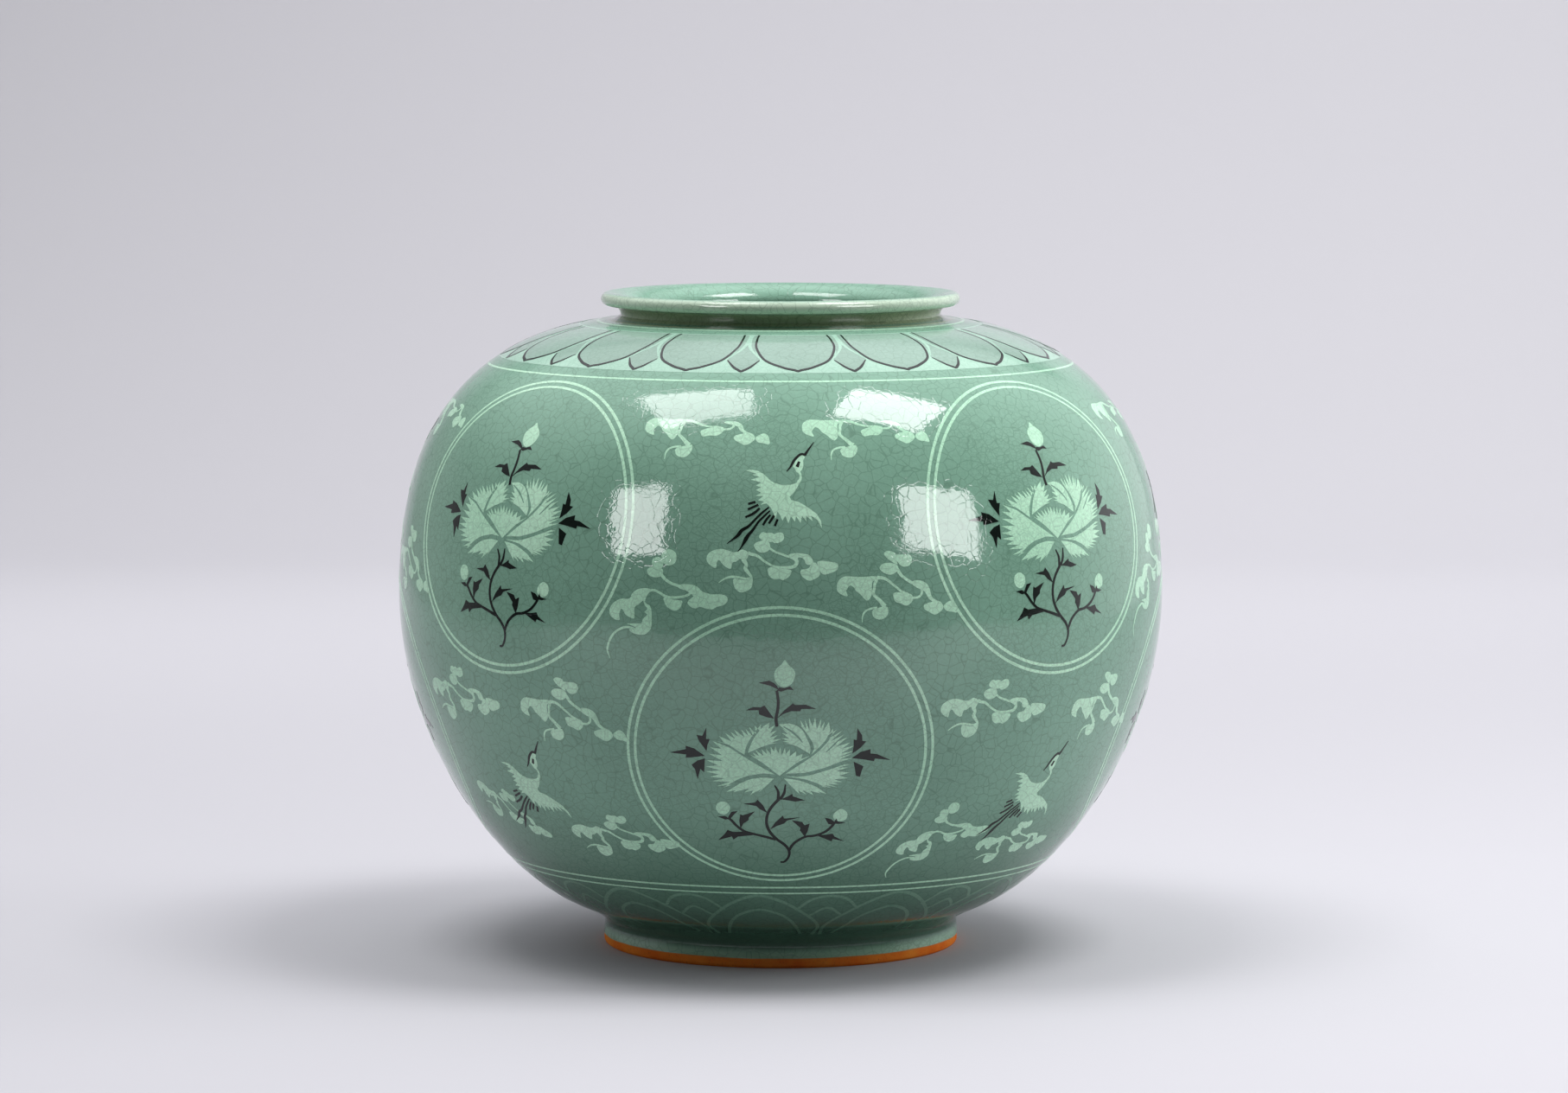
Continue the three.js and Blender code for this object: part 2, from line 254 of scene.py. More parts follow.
def turned(name, section, finish, replaced, sharp=30, stations=288, wave=0.0, waves=()):
    """Turns a section on the wheel into a piece that stands for its solids."""
    values = {"Stations round": stations, "Wave of the edge": wave * MM, "Finish": finish}
    piece = run_tree(name, section_mesh(section, waves), wheel, values)
    piece.data.shade_smooth()
    piece.data.set_sharp_from_angle(angle=math.radians(sharp))
    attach(piece, "root")
    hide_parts(*replaced)

# %% [markdown]
# The glaze and what lies under it
#
# Celadon is a thick clear glaze with a little iron in it. What the eye takes for the jar's colour is
# grey clay and white or black slip seen through green glass. So each finish below is one colour
# under the same skin: the same gloss, the same slow swell of the surface, and the same crazing, the
# net of fine cracks that the glaze gets as it cools and that a rub of ink or tea makes dark. All of
# them read the jar's own coordinates, so that the net runs on from the clay over the slip unbroken.

# %% Crazing
NET_SIZE = 4.0  # mm across one mesh of the crazing
FINE_NET_SIZE = 2.6
CRACK_WIDTH = 0.22  # drawn about twice as wide as the real cracks, or they would not show
CROOKED = 3.5  # mm by which the net is pulled about, so that no crack runs straight
CROOK_SIZE = 9.0
PATCH_SIZE = 45.0  # across the patches in which the finer net shows
FINE_NET_SHARE = 0.75


def crazing(tree, place):
    """The crack net, one in a crack and nothing beside it: wide meshes, and here and there a finer
    net inside them."""
    pull = add_node(tree, "ShaderNodeTexNoise", {"Vector": place, "Scale": 1 / (CROOK_SIZE * MM)})
    pull = {0: pull.outputs["Color"], 1: (CROOKED * MM,) * 3}
    pull = add_node(tree, "ShaderNodeVectorMath", pull, operation="MULTIPLY")
    place = add_node(tree, "ShaderNodeVectorMath", {0: place, 1: pull}, operation="ADD")
    # the fine cracks run round the jar rather than up it, so their meshes are twice as wide as high
    flat = add_node(tree, "ShaderNodeVectorMath", {0: place, 1: (1.0, 1.0, 2.0)}, operation="MULTIPLY")
    nets = []
    for spot, size in ((place, NET_SIZE), (flat, FINE_NET_SIZE)):
        meshes = {"Vector": spot, "Scale": 1 / (size * MM)}
        meshes = add_node(tree, "ShaderNodeTexVoronoi", meshes, feature="DISTANCE_TO_EDGE")
        fading = {"Value": meshes, "From Max": CRACK_WIDTH / size, "To Min": 1.0, "To Max": 0.0}
        nets.append(add_node(tree, "ShaderNodeMapRange", fading))
    patches = add_node(tree, "ShaderNodeTexNoise", {"Vector": place, "Scale": 1 / (PATCH_SIZE * MM)})
    shown = {"Value": patches, "From Min": 0.4, "From Max": 0.6, "To Max": FINE_NET_SHARE}
    shown = add_node(tree, "ShaderNodeMapRange", shown)
    fine = add_node(tree, "ShaderNodeMath", {0: nets[1], 1: shown}, operation="MULTIPLY")
    return add_node(tree, "ShaderNodeMath", {0: nets[0], 1: fine}, operation="MAXIMUM")


print("crack nets", NET_SIZE, "and", FINE_NET_SIZE, "mm, cracks", CRACK_WIDTH, "mm wide")

# %% [markdown]
# The running glaze gathers in the hollows, where it turns dark and brownish, and thins out on the
# edges, where the pale clay shows. Some of the rows paint light and shade as well: the dark over the
# foot reaches far up the lower bowl as painted shade, and the neck under the lip and the underside of
# the roll are made paler as painted light. Each such place is a span of heights and of radii, so a row
# of numbers says it, and one loop mixes the rows in. Painting them by hand on a map would do as well,
# but a map would not follow the jar when its section changes.

# %% Thick and thin glaze, and painted light and shade
# colour, or None for the finish's own pooled_and_shaded colour, its share, and then heights and radii in mm:
# over each pair the colour fades in, from the first value to the second
POOLS_AND_PAINTED_LIGHT = {
    # thick glaze pooled at the foot, and painted shade: the darkening reaches 70 mm up the downward-facing
    # lower bowl
    "thick glaze and painted shade over the foot": (None, 0.85, [(70.0, 10.0), (6.0, 8.5)], []),
    # olive of the thick glaze, made paler as painted light where the lip shades the neck
    "olive glaze and painted light under the lip": (
        "A0AD8C", 0.9, [(246.2, 247.0), (252.21, 252.19)], [(61.49, 61.51), (66.5, 64.0)]
    ),
    "thin below that": (
        "B9BC93", 0.6, [(244.49, 244.51), (249.01, 248.99)], [(65.89, 65.91), (67.71, 67.69)]
    ),
    # painted light: the roll's downward face is made as pale as its top, standing in for the low softboxes'
    # light
    "painted light under the roll": ("BFD0BB", 0.85, [(249.19, 249.21), (253.01, 252.99)], [(67.2, 68.8)]),
    "thin over the roll": ("BFD0BB", 0.85, [(252.99, 253.01)], [(68.2, 69.8)]),
    "thin at the wiped edge": ("93B79B", 0.85, [(7.8, 4.8)], []),
}


def pool_and_paint_light(tree, place, colour, pooled_and_shaded):
    """Mixes in the colours of thick and thin glaze, and the painted light and shade among them."""
    height = add_node(tree, "ShaderNodeSeparateXYZ", {0: place}).outputs[2]
    level = add_node(tree, "ShaderNodeVectorMath", {0: place, 1: (1.0, 1.0, 0.0)}, operation="MULTIPLY")
    radius = add_node(tree, "ShaderNodeVectorMath", {0: level}, operation="LENGTH")
    for tint, share, heights, radii in POOLS_AND_PAINTED_LIGHT.values():
        for along, start, full in [(height, *pair) for pair in heights] + [(radius, *pair) for pair in radii]:
            fading = {"Value": along, "From Min": start * MM, "From Max": full * MM, "To Max": share}
            share = add_node(tree, "ShaderNodeMapRange", fading)
        tinted = {0: share, 6: colour, 7: linear(tint or pooled_and_shaded)}
        colour = add_node(tree, "ShaderNodeMix", tinted, data_type="RGBA")
    return colour


print("places:", list(POOLS_AND_PAINTED_LIGHT))

# %% [markdown]
# One function then mixes every finish under the glaze. Each could be a material built on its own, but
# they are one glaze over different colours, and sharing its parts keeps the gloss, the crazing and the
# orange peel alike. What differs is a handful of colours, the share of ink that shows in the cracks and
# the strength of the speckle.

# %% Glazed finishes
GLAZE_ROUGHNESS = 0.03
DULLED = 0.02  # how much rougher the speckle makes it
GLAZE_IOR = 1.46
DRIFT_SIZE = 60.0  # mm, a hand's breadth
SPECKLE_SIZE = 0.9  # mm, a little coarser than the clay's grains, which would not show
SWELL_SIZE, SWELL_HEIGHT = 16.0, 0.12  # mm, left by the potter's fingers
PEEL_SIZE, PEEL_HEIGHT = 3.0, 0.038  # mm, the orange peel of the glaze
FURROW_DEPTH = 0.01  # mm


def new_finish(name):
    """An empty material, its node tree, and the piece's own coordinates in it."""
    finish = bpy.data.materials.new(name)
    finish.use_nodes = True
    finish.node_tree.nodes.clear()
    place = add_node(finish.node_tree, "ShaderNodeTexCoord").outputs["Object"]
    return finish, finish.node_tree, place


def glaze_over(name, under, thin, crack_tint, pooled_and_shaded=None, crack_share=0.36, mottle=0.07):
    """A finish seen through the glaze. under and thin are its colours where the glaze is thick and
    thin, crack_tint the colour of the ink in the cracks and crack_share how much of it shows,
    pooled_and_shaded the dark green of glaze pooled over the foot, which also paints the shade under the
    lower bowl, and mottle how strongly the speckle shades it."""
    finish, tree, place = new_finish(name)
    # cloudy drift of the glaze's thickness
    drift = {"Vector": place, "Scale": 1 / (DRIFT_SIZE * MM), "Detail": 3.0}
    drift = add_node(tree, "ShaderNodeTexNoise", drift)
    drift = add_node(tree, "ShaderNodeMapRange", {"Value": drift, "From Min": 0.35, "From Max": 0.65})
    colour = {0: drift, 6: linear(under), 7: linear(thin)}
    colour = add_node(tree, "ShaderNodeMix", colour, data_type="RGBA")
    # fine speckle of the clay
    speckle = {"Vector": place, "Scale": 1 / (SPECKLE_SIZE * MM), "Detail": 3.0, "Roughness": 0.7}
    speckle = add_node(tree, "ShaderNodeTexNoise", speckle)
    grain = {"Value": speckle, "From Min": 0.3, "From Max": 0.7, "To Min": 1 - mottle, "To Max": 1 + mottle}
    grain = add_node(tree, "ShaderNodeMapRange", grain)
    shaded = {0: 1.0, 6: colour, 7: grain}
    colour = add_node(tree, "ShaderNodeMix", shaded, data_type="RGBA", blend_type="MULTIPLY")
    if pooled_and_shaded:
        colour = pool_and_paint_light(tree, place, colour, pooled_and_shaded)
    cracks = crazing(tree, place)
    inked = add_node(tree, "ShaderNodeMath", {0: cracks, 1: crack_share}, operation="MULTIPLY")
    inked = {0: inked, 6: colour, 7: linear(crack_tint)}
    colour = add_node(tree, "ShaderNodeMix", inked, data_type="RGBA")
    # the skin: a slow swell, an orange peel, and a furrow at each crack
    swell = {"Vector": place, "Scale": 1 / (SWELL_SIZE * MM), "Detail": 1.0}
    swell = {"Height": add_node(tree, "ShaderNodeTexNoise", swell), "Distance": SWELL_HEIGHT * MM}
    skin = add_node(tree, "ShaderNodeBump", {"Strength": 1.0, **swell})
    peel = {"Vector": place, "Scale": 1 / (PEEL_SIZE * MM)}
    peel = {"Height": add_node(tree, "ShaderNodeTexNoise", peel), "Distance": PEEL_HEIGHT * MM}
    skin = add_node(tree, "ShaderNodeBump", {"Strength": 1.0, "Normal": skin, **peel})
    furrow = {"Height": cracks, "Distance": FURROW_DEPTH * MM}
    skin = add_node(tree, "ShaderNodeBump", {"Strength": 1.0, "Normal": skin, **furrow}, invert=True)
    dull = {"Value": speckle, "To Min": GLAZE_ROUGHNESS, "To Max": GLAZE_ROUGHNESS + DULLED}
    dull = add_node(tree, "ShaderNodeMapRange", dull)
    shader = {"Base Color": colour, "Roughness": dull, "IOR": GLAZE_IOR, "Normal": skin}
    shader = add_node(tree, "ShaderNodeBsdfPrincipled", shader)
    add_node(tree, "ShaderNodeOutputMaterial", {0: shader})
    return finish


celadon = glaze_over("celadon glaze", "739B86", "7CA48F", "33523F", pooled_and_shaded="30523F")
petal_green = glaze_over("pale celadon in the petals", "819C8E", "8AA698", "4A6A5A", crack_share=0.25)
collar_slip = glaze_over("thin white slip on the shoulder", "96BAA7", "A1C5B2", "5F8A72", crack_share=0.25)
white_slip = glaze_over(
    "white slip under glaze", "ABD9BA", "BDE6C9", "5F8A72", crack_share=0.35, mottle=0.14
)
base_line_slip = glaze_over("thin white slip by the foot", "86B198", "91BBA2", "3C5F4E", pooled_and_shaded="4E7560")
black_slip = glaze_over("black slip under glaze", "0D1411", "141C18", "0C1411", crack_share=0.1)
print("glazed finishes:", [finish.name for finish in (celadon, white_slip, black_slip)])

# %% [markdown]
# Only the standing edge of the foot has no glaze. There the stoneware is dry, and the iron in it has
# burnt orange in the kiln. One flat orange would pass from afar, but the eye knows clay by its cloudy
# patches, its dark grains and its sandy skin, so noise at three real sizes makes them.

# %% Bare clay
CLAY_ROUGHNESS = 0.85
CLAY_IOR = 1.15  # far under the 1.5 of its minerals, because a dry gritty face mirrors next to nothing
CLAY_PATCH_SIZE = 14.0  # mm
GROG_SIZE = 0.7  # mm, a grain of fired clay
SAND_SIZE, SAND_HEIGHT = 0.5, 0.08  # mm
RIM_FROM, RIM_TO = 3.2, 4.4  # heights in mm over which the clay turns paler towards the glaze


def bare_clay_finish():
    """Stoneware without glaze: dry, burnt orange by its iron, and gritty."""
    finish, tree, place = new_finish("bare clay, burnt in the kiln")
    # the iron in the clay burns orange, in cloudy patches
    patches = {"Vector": place, "Scale": 1 / (CLAY_PATCH_SIZE * MM), "Detail": 4.0, "Roughness": 0.6}
    patches = add_node(tree, "ShaderNodeTexNoise", patches)
    patches = add_node(tree, "ShaderNodeMapRange", {"Value": patches, "From Min": 0.35, "From Max": 0.65})
    colour = {0: patches, 6: linear("D96A1E"), 7: linear("E3862E")}
    colour = add_node(tree, "ShaderNodeMix", colour, data_type="RGBA")
    # dark grains of grog
    grog = {"Vector": place, "Scale": 1 / (GROG_SIZE * MM), "Detail": 3.0, "Roughness": 0.7}
    grog = add_node(tree, "ShaderNodeTexNoise", grog)
    grog = {"Value": grog, "From Min": 0.58, "From Max": 0.7, "To Max": 0.5}
    grog = add_node(tree, "ShaderNodeMapRange", grog)
    colour = add_node(tree, "ShaderNodeMix", {0: grog, 6: colour, 7: linear("6E3A1D")}, data_type="RGBA")
    # a paler, browner rim where the glaze ends
    height = add_node(tree, "ShaderNodeSeparateXYZ", {0: place}).outputs[2]
    rim = {"Value": height, "From Min": RIM_FROM * MM, "From Max": RIM_TO * MM, "To Max": 0.6}
    rim = add_node(tree, "ShaderNodeMapRange", rim)
    colour = add_node(tree, "ShaderNodeMix", {0: rim, 6: colour, 7: linear("B98F62")}, data_type="RGBA")
    sand = {"Vector": place, "Scale": 1 / (SAND_SIZE * MM), "Detail": 3.0, "Roughness": 0.6}
    sand = {"Height": add_node(tree, "ShaderNodeTexNoise", sand), "Distance": SAND_HEIGHT * MM}
    grit = add_node(tree, "ShaderNodeBump", {"Strength": 1.0, **sand})
    shader = {"Base Color": colour, "Roughness": CLAY_ROUGHNESS, "IOR": CLAY_IOR, "Normal": grit}
    shader = add_node(tree, "ShaderNodeBsdfPrincipled", shader)
    add_node(tree, "ShaderNodeOutputMaterial", {0: shader})
    return finish


bare_clay = bare_clay_finish()
print("unglazed finish:", bare_clay.name)

# %% [markdown]
# The jar itself
#
# The two bowls and the collar are one skin of glaze on the real jar, so one section is turned: up
# the foot, round the belly, over the rolled lip, down the throat and the inside, and back under the
# floor. The wall inside keeps 7 mm from the outside. Only the points at the glaze's lower edge ride
# the wave, because the potter wipes that edge clean by hand.

# %% Section of the jar
GLAZE_EDGE = 4.0  # height of the glaze's lower edge on the foot
EDGE_WAVE = 1.2  # how far that edge strays up and down
WALL_THICKNESS = 7.0
FLOOR_TOP = 17.5
UNDERSIDE = 9.5  # height of the floor's lower side, in the hollow of the foot
THROAT_RADIUS = 57.0
ROLL_MIDDLE = (67.9, 254.1)
ROLL_RADIUS = 2.5
ROLL_TUCK = math.radians(17)

foot_wall = [(69.97, GLAZE_EDGE), (69.9, 4.7), (69.75, 6.0), (69.55, 8.0)]
outside = [tuple(point) for point in wall]
neck = [tuple(p) for p in bezier([(62.8, 247.8), (62.8, 251.6), (67.9, 251.6)], 12)]
turns = np.linspace(-math.pi / 2, math.pi / 2 + ROLL_TUCK, 25)[1:]
roll = [
    (ROLL_MIDDLE[0] + ROLL_RADIUS * math.cos(a), ROLL_MIDDLE[1] + ROLL_RADIUS * math.sin(a)) for a in turns
]
mouth = [tuple(p) for p in bezier([roll[-1], (58.5, 255.0), (THROAT_RADIUS, 250.2)], 10)][1:]
throat = [(THROAT_RADIUS, z) for z in (248.0, 246.2, 243.5, 240.7)]

# the inner wall runs from the throat down to the floor, with every third point of the outer one
over_heel = wall_arc[len(cove) - 1 :]
inner_wall = [tuple(spot - WALL_THICKNESS * facing) for spot, facing in map(wall_at, over_heel)]
inner_wall = [point for point in inner_wall if point[1] > FLOOR_TOP + 0.5][::-3]
inner_wall = [point for point in inner_wall if point[1] < throat[-1][1] - 0.3]
floor_inside = [(72.0, FLOOR_TOP + 0.6)] + [(radius, FLOOR_TOP) for radius in (62.0, 45.0, 25.0, 8.0, 0.0)]
underside = [(radius, UNDERSIDE) for radius in (0.0, 8.0, 30.0, 50.0)]
foot_inside = [(58.4, 9.4), (59.7, 8.4), (60.0, 6.0), (60.0, GLAZE_EDGE)]
jar_section = foot_wall + outside + neck + roll + mouth + throat
jar_section += inner_wall + floor_inside + underside + foot_inside
jar_section.append(jar_section[0])
edge_points = (0, len(jar_section) - 2, len(jar_section) - 1)
turned(
    "glazed_jar",
    jar_section,
    celadon,
    ("lower_bowl", "upper_bowl", "collar"),
    sharp=40,
    wave=EDGE_WAVE,
    waves=edge_points,
)

# %% [markdown]
# The bare foot
#
# The standing edge of the foot is wiped clean of glaze, or it would melt to the kiln shelf. The clay
# ring reaches up inside the glaze, and the glaze ends in a small rounded step over it. One turned
# piece could carry both finishes on different faces, but the glaze has a thickness of its own, with an
# edge that catches the light. So the ring is a piece by itself, turned on the same wheel.

# %% Foot
foot_face = [(60.3, 0.0), (61.3, 0.0), (68.5, 0.0)]
foot_side = [(69.35, 0.55), (69.72, 1.4), (69.7, 4.0), (69.3, 9.0)]
foot_section = foot_face + foot_side + [(60.3, 9.0), foot_face[0]]
turned("bare_foot", foot_section, bare_clay, ("foot_ring",), sharp=50, stations=192)

# %% [markdown]
# Level lines
#
# With the jar spinning on the wheel the potter holds a gouge still, and it cuts a V groove all round.
# White slip fills it. A material could paint such a line by its height, but the slip is a part of its
# own on the real jar, with an edge that stays sharp from near by. So each line is that V turned about
# the axis, standing the thickness of a hair proud, so that it covers the clay without a step that the
# eye could find.

# %% Level lines
PROUD = 0.05  # how far an inlaid shape stands over the clay
LINE_DEPTH = 1.1
FACE_STEP = 1.2  # between the points across a line's face
GROOVE_TAPER = 0.3  # the share of a line's width by which its groove narrows on each side


def band_section(low, high):
    """Closed section of a filled groove between two arcs: up its face and back through its bottom."""
    stations = max(3, int((high - low) / FACE_STEP) + 2)
    face = [tuple(spot + PROUD * facing) for spot, facing in map(wall_at, np.linspace(low, high, stations))]
    taper = GROOVE_TAPER * (high - low)
    back = [tuple(spot - LINE_DEPTH * facing) for spot, facing in map(wall_at, (high - taper, low + taper))]
    return face + back + [face[0]]


COLLAR_LINE = wall_arc[-1] - 6.5
SHOULDER_LINE = arc_at_radius(114.5, True)
BASE_LINE = arc_at_radius(109.1, False)
BASE_LINES_APART = 3.7
LEVEL_LINES = {  # arc and width
    "collar_line": (COLLAR_LINE, 1.4),
    "shoulder_line": (SHOULDER_LINE, 0.9),
    "base_line_upper": (BASE_LINE, 0.95),
    "base_line_lower": (BASE_LINE - BASE_LINES_APART, 0.85),
}
for line_name, (arc, width) in LEVEL_LINES.items():
    line_section = band_section(arc - width / 2, arc + width / 2)
    turned(line_name + "_slip", line_section, white_slip, (line_name,))

# %% [markdown]
# Laying a flat shape on the wall
#
# The rest of the ornament is drawn flat, in millimetres, and then laid on the wall. A shrinkwrap
# would do, but it needs a direction and stretches a shape where the wall turns away. This tree does
# what a paper pattern does: a point's height in the drawing becomes distance up the wall, and its
# width becomes distance round the wall. It also repeats the shape, at places that each carry an arc,
# a turn round the jar, a tilt and a size.

# %% The pattern layer, as a node tree
def layer_tree():
    tree, given = new_tree(
        "lay on the wall",
        {"Places": "Geometry", "Drawing": "Object", "Wall": "Object", "Finish": "Material"},
    )
    drawing = add_node(tree, "GeometryNodeObjectInfo", {"Object": given["Drawing"]}).outputs["Geometry"]
    rib = add_node(tree, "GeometryNodeObjectInfo", {"Object": given["Wall"]}).outputs["Geometry"]
    rib = add_node(tree, "GeometryNodeMeshToCurve", {0: rib})
    noted = {
        label: add_node(tree, "GeometryNodeInputNamedAttribute", {"Name": label}, data_type="FLOAT")
        for label in ("arc", "turn", "tilt", "size")
    }
    tilt = add_node(tree, "ShaderNodeCombineXYZ", {2: noted["tilt"]})
    tilt = add_node(tree, "FunctionNodeEulerToRotation", {0: tilt})
    copies = {"Points": given["Places"], "Instance": drawing, "Rotation": tilt, "Scale": noted["size"]}
    copies = add_node(tree, "GeometryNodeInstanceOnPoints", copies)
    real = add_node(tree, "GeometryNodeRealizeInstances", {0: copies})
    flat = add_node(tree, "ShaderNodeSeparateXYZ", {0: add_node(tree, "GeometryNodeInputPosition")})
    across, upward, proud = flat.outputs
    # the spot on the rib, and the way that the wall faces there, square to the rib's own way
    arc = add_node(tree, "ShaderNodeMath", {0: noted["arc"], 1: upward}, operation="ADD")
    on_rib = add_node(
        tree, "GeometryNodeSampleCurve", {0: rib, "Length": arc}, data_type="FLOAT_VECTOR", mode="LENGTH"
    ).outputs
    outward = {0: (1.0, 0.0, 0.0), 1: on_rib["Tangent"]}
    outward = add_node(tree, "ShaderNodeVectorMath", outward, operation="CROSS_PRODUCT")
    spot = {0: outward, 1: proud, 2: on_rib["Position"]}
    spot = add_node(tree, "ShaderNodeVectorMath", spot, operation="MULTIPLY_ADD")
    # the rib stands at the front, where Y is the radius turned round, and is swung to its place
    minus_radius = add_node(tree, "ShaderNodeSeparateXYZ", {0: on_rib["Position"]}).outputs[1]
    back = add_node(tree, "ShaderNodeMath", {0: across, 1: minus_radius}, operation="DIVIDE")
    turn = add_node(tree, "ShaderNodeMath", {0: noted["turn"], 1: back}, operation="SUBTRACT")
    swung = [
        add_node(tree, "ShaderNodeVectorRotate", {"Vector": way, "Angle": turn}, rotation_type="Z_AXIS")
        for way in (spot, outward)
    ]
    facing = {0: real, "Name": "facing", "Value": swung[1]}
    facing = add_node(
        tree, "GeometryNodeStoreNamedAttribute", facing, data_type="FLOAT_VECTOR", domain="POINT"
    )
    laid = add_node(tree, "GeometryNodeSetPosition", {0: facing, "Position": swung[0]})
    done = add_node(tree, "GeometryNodeSetMaterial", {0: laid, "Material": given["Finish"]})
    add_node(tree, "NodeGroupOutput", {0: done})
    return tree


layer = layer_tree()
rib_mesh = bpy.data.meshes.new("rib")
rib_points = [(0, -x * MM, z * MM) for x, z in wall]
rib_mesh.from_pydata(rib_points, [(i, i + 1) for i in range(len(wall) - 1)], [])
rib_object = bpy.data.objects.new("rib", rib_mesh)
print("rib points", len(wall))

# %% Placing a drawing
PLACE_UNITS = {"arc": MM, "turn": math.radians(1), "tilt": math.radians(1), "size": 1.0}
FACE_LIMIT = 0.8  # cosine over which a face counts as the drawing's own face and not its side


def places_mesh(places):
    """Points that carry an arc in mm, a turn and a tilt in degrees and a size."""
    mesh = bpy.data.meshes.new("places")
    mesh.from_pydata([(0, 0, 0)] * len(places), [], [])
    for i, (label, unit) in enumerate(PLACE_UNITS.items()):
        values = [place[i] * unit for place in places]
        mesh.attributes.new(label, "FLOAT", "POINT").data.foreach_set("value", values)
    return mesh


def values_of(items, label, width=3, kind=np.float32):
    """One property of all items, a row for each item."""
    values = np.empty(len(items) * width, kind)
    items.foreach_get(label, values)
    return values.reshape(-1, width)


def lay(name, drawing, places, finish, replaced=()):
    """Lays a drawing at its places and gives its face the wall's own normals, so that light runs over
    its edge as over bare glaze."""
    stencil = bpy.data.objects.new(name + " drawing", drawing)
    values = {"Drawing": stencil, "Wall": rib_object, "Finish": finish}
    piece = run_tree(name, places_mesh(places), layer, values)
    bpy.data.objects.remove(stencil)
    mesh = piece.data
    corners = values_of(mesh.loops, "vertex_index", 1, np.int32)[:, 0]
    facing = values_of(mesh.attributes["facing"].data, "vector")[corners]
    sides = values_of(mesh.polygons, "loop_total", 1, np.int32)[:, 0]
    flat = np.repeat(values_of(mesh.polygons, "normal"), sides, axis=0)
    is_face = (flat * facing).sum(axis=1, keepdims=True) > FACE_LIMIT
    mesh.shade_smooth()
    for label in ("facing", *PLACE_UNITS):
        if label in mesh.attributes:
            mesh.attributes.remove(mesh.attributes[label])
    mesh.normals_split_custom_set(np.where(is_face, facing, flat).tolist())
    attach(piece, "root")
    if replaced:
        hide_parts(*replaced)

# %% [markdown]
# From a drawing to a thin slab
#
# A carved shape has a flat face and a bottom. The drawing is a set of closed outlines, which may
# overlap as brush strokes do. A constrained Delaunay triangulation fills them, with extra points on
# a fine net, because a large flat triangle would cut under the round wall.

# %% Filling outlines
def winding(points, ring):
    """How often an outline runs round each point."""
    turns = np.zeros(len(points))
    for (x0, y0), (x1, y1) in zip(ring, np.roll(ring, -1, axis=0)):
        rising = (y0 <= points[:, 1]) & (y1 > points[:, 1])
        falling = (y0 > points[:, 1]) & (y1 <= points[:, 1])
        side = (x1 - x0) * (points[:, 1] - y0) - (points[:, 0] - x0) * (y1 - y0)
        turns += (rising & (side > 0)).astype(float) - (falling & (side < 0))
    return turns


def covered(points, rings):
    """Whether each point lies inside any of the outlines."""
    inside = np.zeros(len(points), bool)
    for ring in rings:
        inside |= np.abs(winding(points, ring)) > 0.5
    return inside


def split_long(ring, longest=1.6):
    """Adds points to an outline so that no side is long."""
    ring = np.asarray(ring, float)
    fine = []
    for start, end in zip(ring, np.roll(ring, -1, axis=0)):
        steps = max(1, math.ceil(np.linalg.norm(end - start) / longest))
        fine += [start + (end - start) * i / steps for i in range(steps)]
    return np.array(fine)


SUNK = 0.6  # how deep a carved shape goes
NET = 2.4  # between the extra points inside a shape


def slab(rings, proud=PROUD):
    """A closed slab from outlines in mm, in its own flat drawing."""
    rings = [split_long(ring) for ring in rings]
    points, sides = [], []
    for ring in rings:
        first = len(points)
        points += list(ring)
        sides += [(first + i, first + (i + 1) % len(ring)) for i in range(len(ring))]
    points = np.array(points)
    low, high = points.min(axis=0), points.max(axis=0)
    grid = np.meshgrid(*[np.arange(low[i], high[i], NET) for i in (0, 1)])
    grid = np.stack(grid, -1).reshape(-1, 2)
    odd_row = np.round((grid[:, 1] - low[1]) / NET) % 2 > 0
    grid = grid + np.where(odd_row[:, None], [NET / 2, 0], [0, 0])
    grid = grid[covered(grid, rings)]
    if len(grid):
        apart = np.min(np.linalg.norm(grid[:, None] - points[None], axis=2), axis=1)
        grid = grid[apart > NET * 0.35]
    everything = [Vector(p) for p in [*points, *grid]]
    spots, _, faces, *_ = geometry.delaunay_2d_cdt(everything, sides, [], 0, 1e-4)
    spots = np.array([tuple(s) for s in spots])
    faces = np.array([face for face in faces if len(face) == 3])
    faces = faces[covered(spots[faces].mean(axis=1), rings)]
    a, b, c = (spots[faces[:, i]] for i in range(3))
    # every triangle turns the same way, so that its face looks outwards
    area = (b[:, 0] - a[:, 0]) * (c[:, 1] - a[:, 1]) - (c[:, 0] - a[:, 0]) * (b[:, 1] - a[:, 1])
    faces[area < 0] = faces[area < 0][:, ::-1]
    used, faces = np.unique(faces, return_inverse=True)
    faces = faces.reshape(-1, 3)
    spots = spots[used]
    count = len(spots)
    directed = {(int(f[i]), int(f[(i + 1) % 3])) for f in faces for i in range(3)}
    rim = [(i, j) for i, j in directed if (j, i) not in directed]
    top = [(x * MM, y * MM, proud * MM) for x, y in spots]
    bottom = [(x * MM, y * MM, -SUNK * MM) for x, y in spots]
    body = [tuple(map(int, f)) for f in faces] + [tuple(int(i) + count for i in f[::-1]) for f in faces]
    walls = [(i, i + count, j + count, j) for i, j in rim]
    mesh = bpy.data.meshes.new("slab")
    mesh.from_pydata(top + bottom, [], body + walls)
    return mesh

# %% [markdown]
# Brush and knife
#
# The drawings are made of three kinds of outline. A stem is a stroke that swells and thins, a bud or a
# puff of cloud is closed and has a smooth edge, and a petal ends in barbs. A Bezier curve with a taper
# would give the strokes, but the slab needs flat outlines, so short functions work all three out from
# a few points. Spiny leaves need no help, because their corners are written as they are.

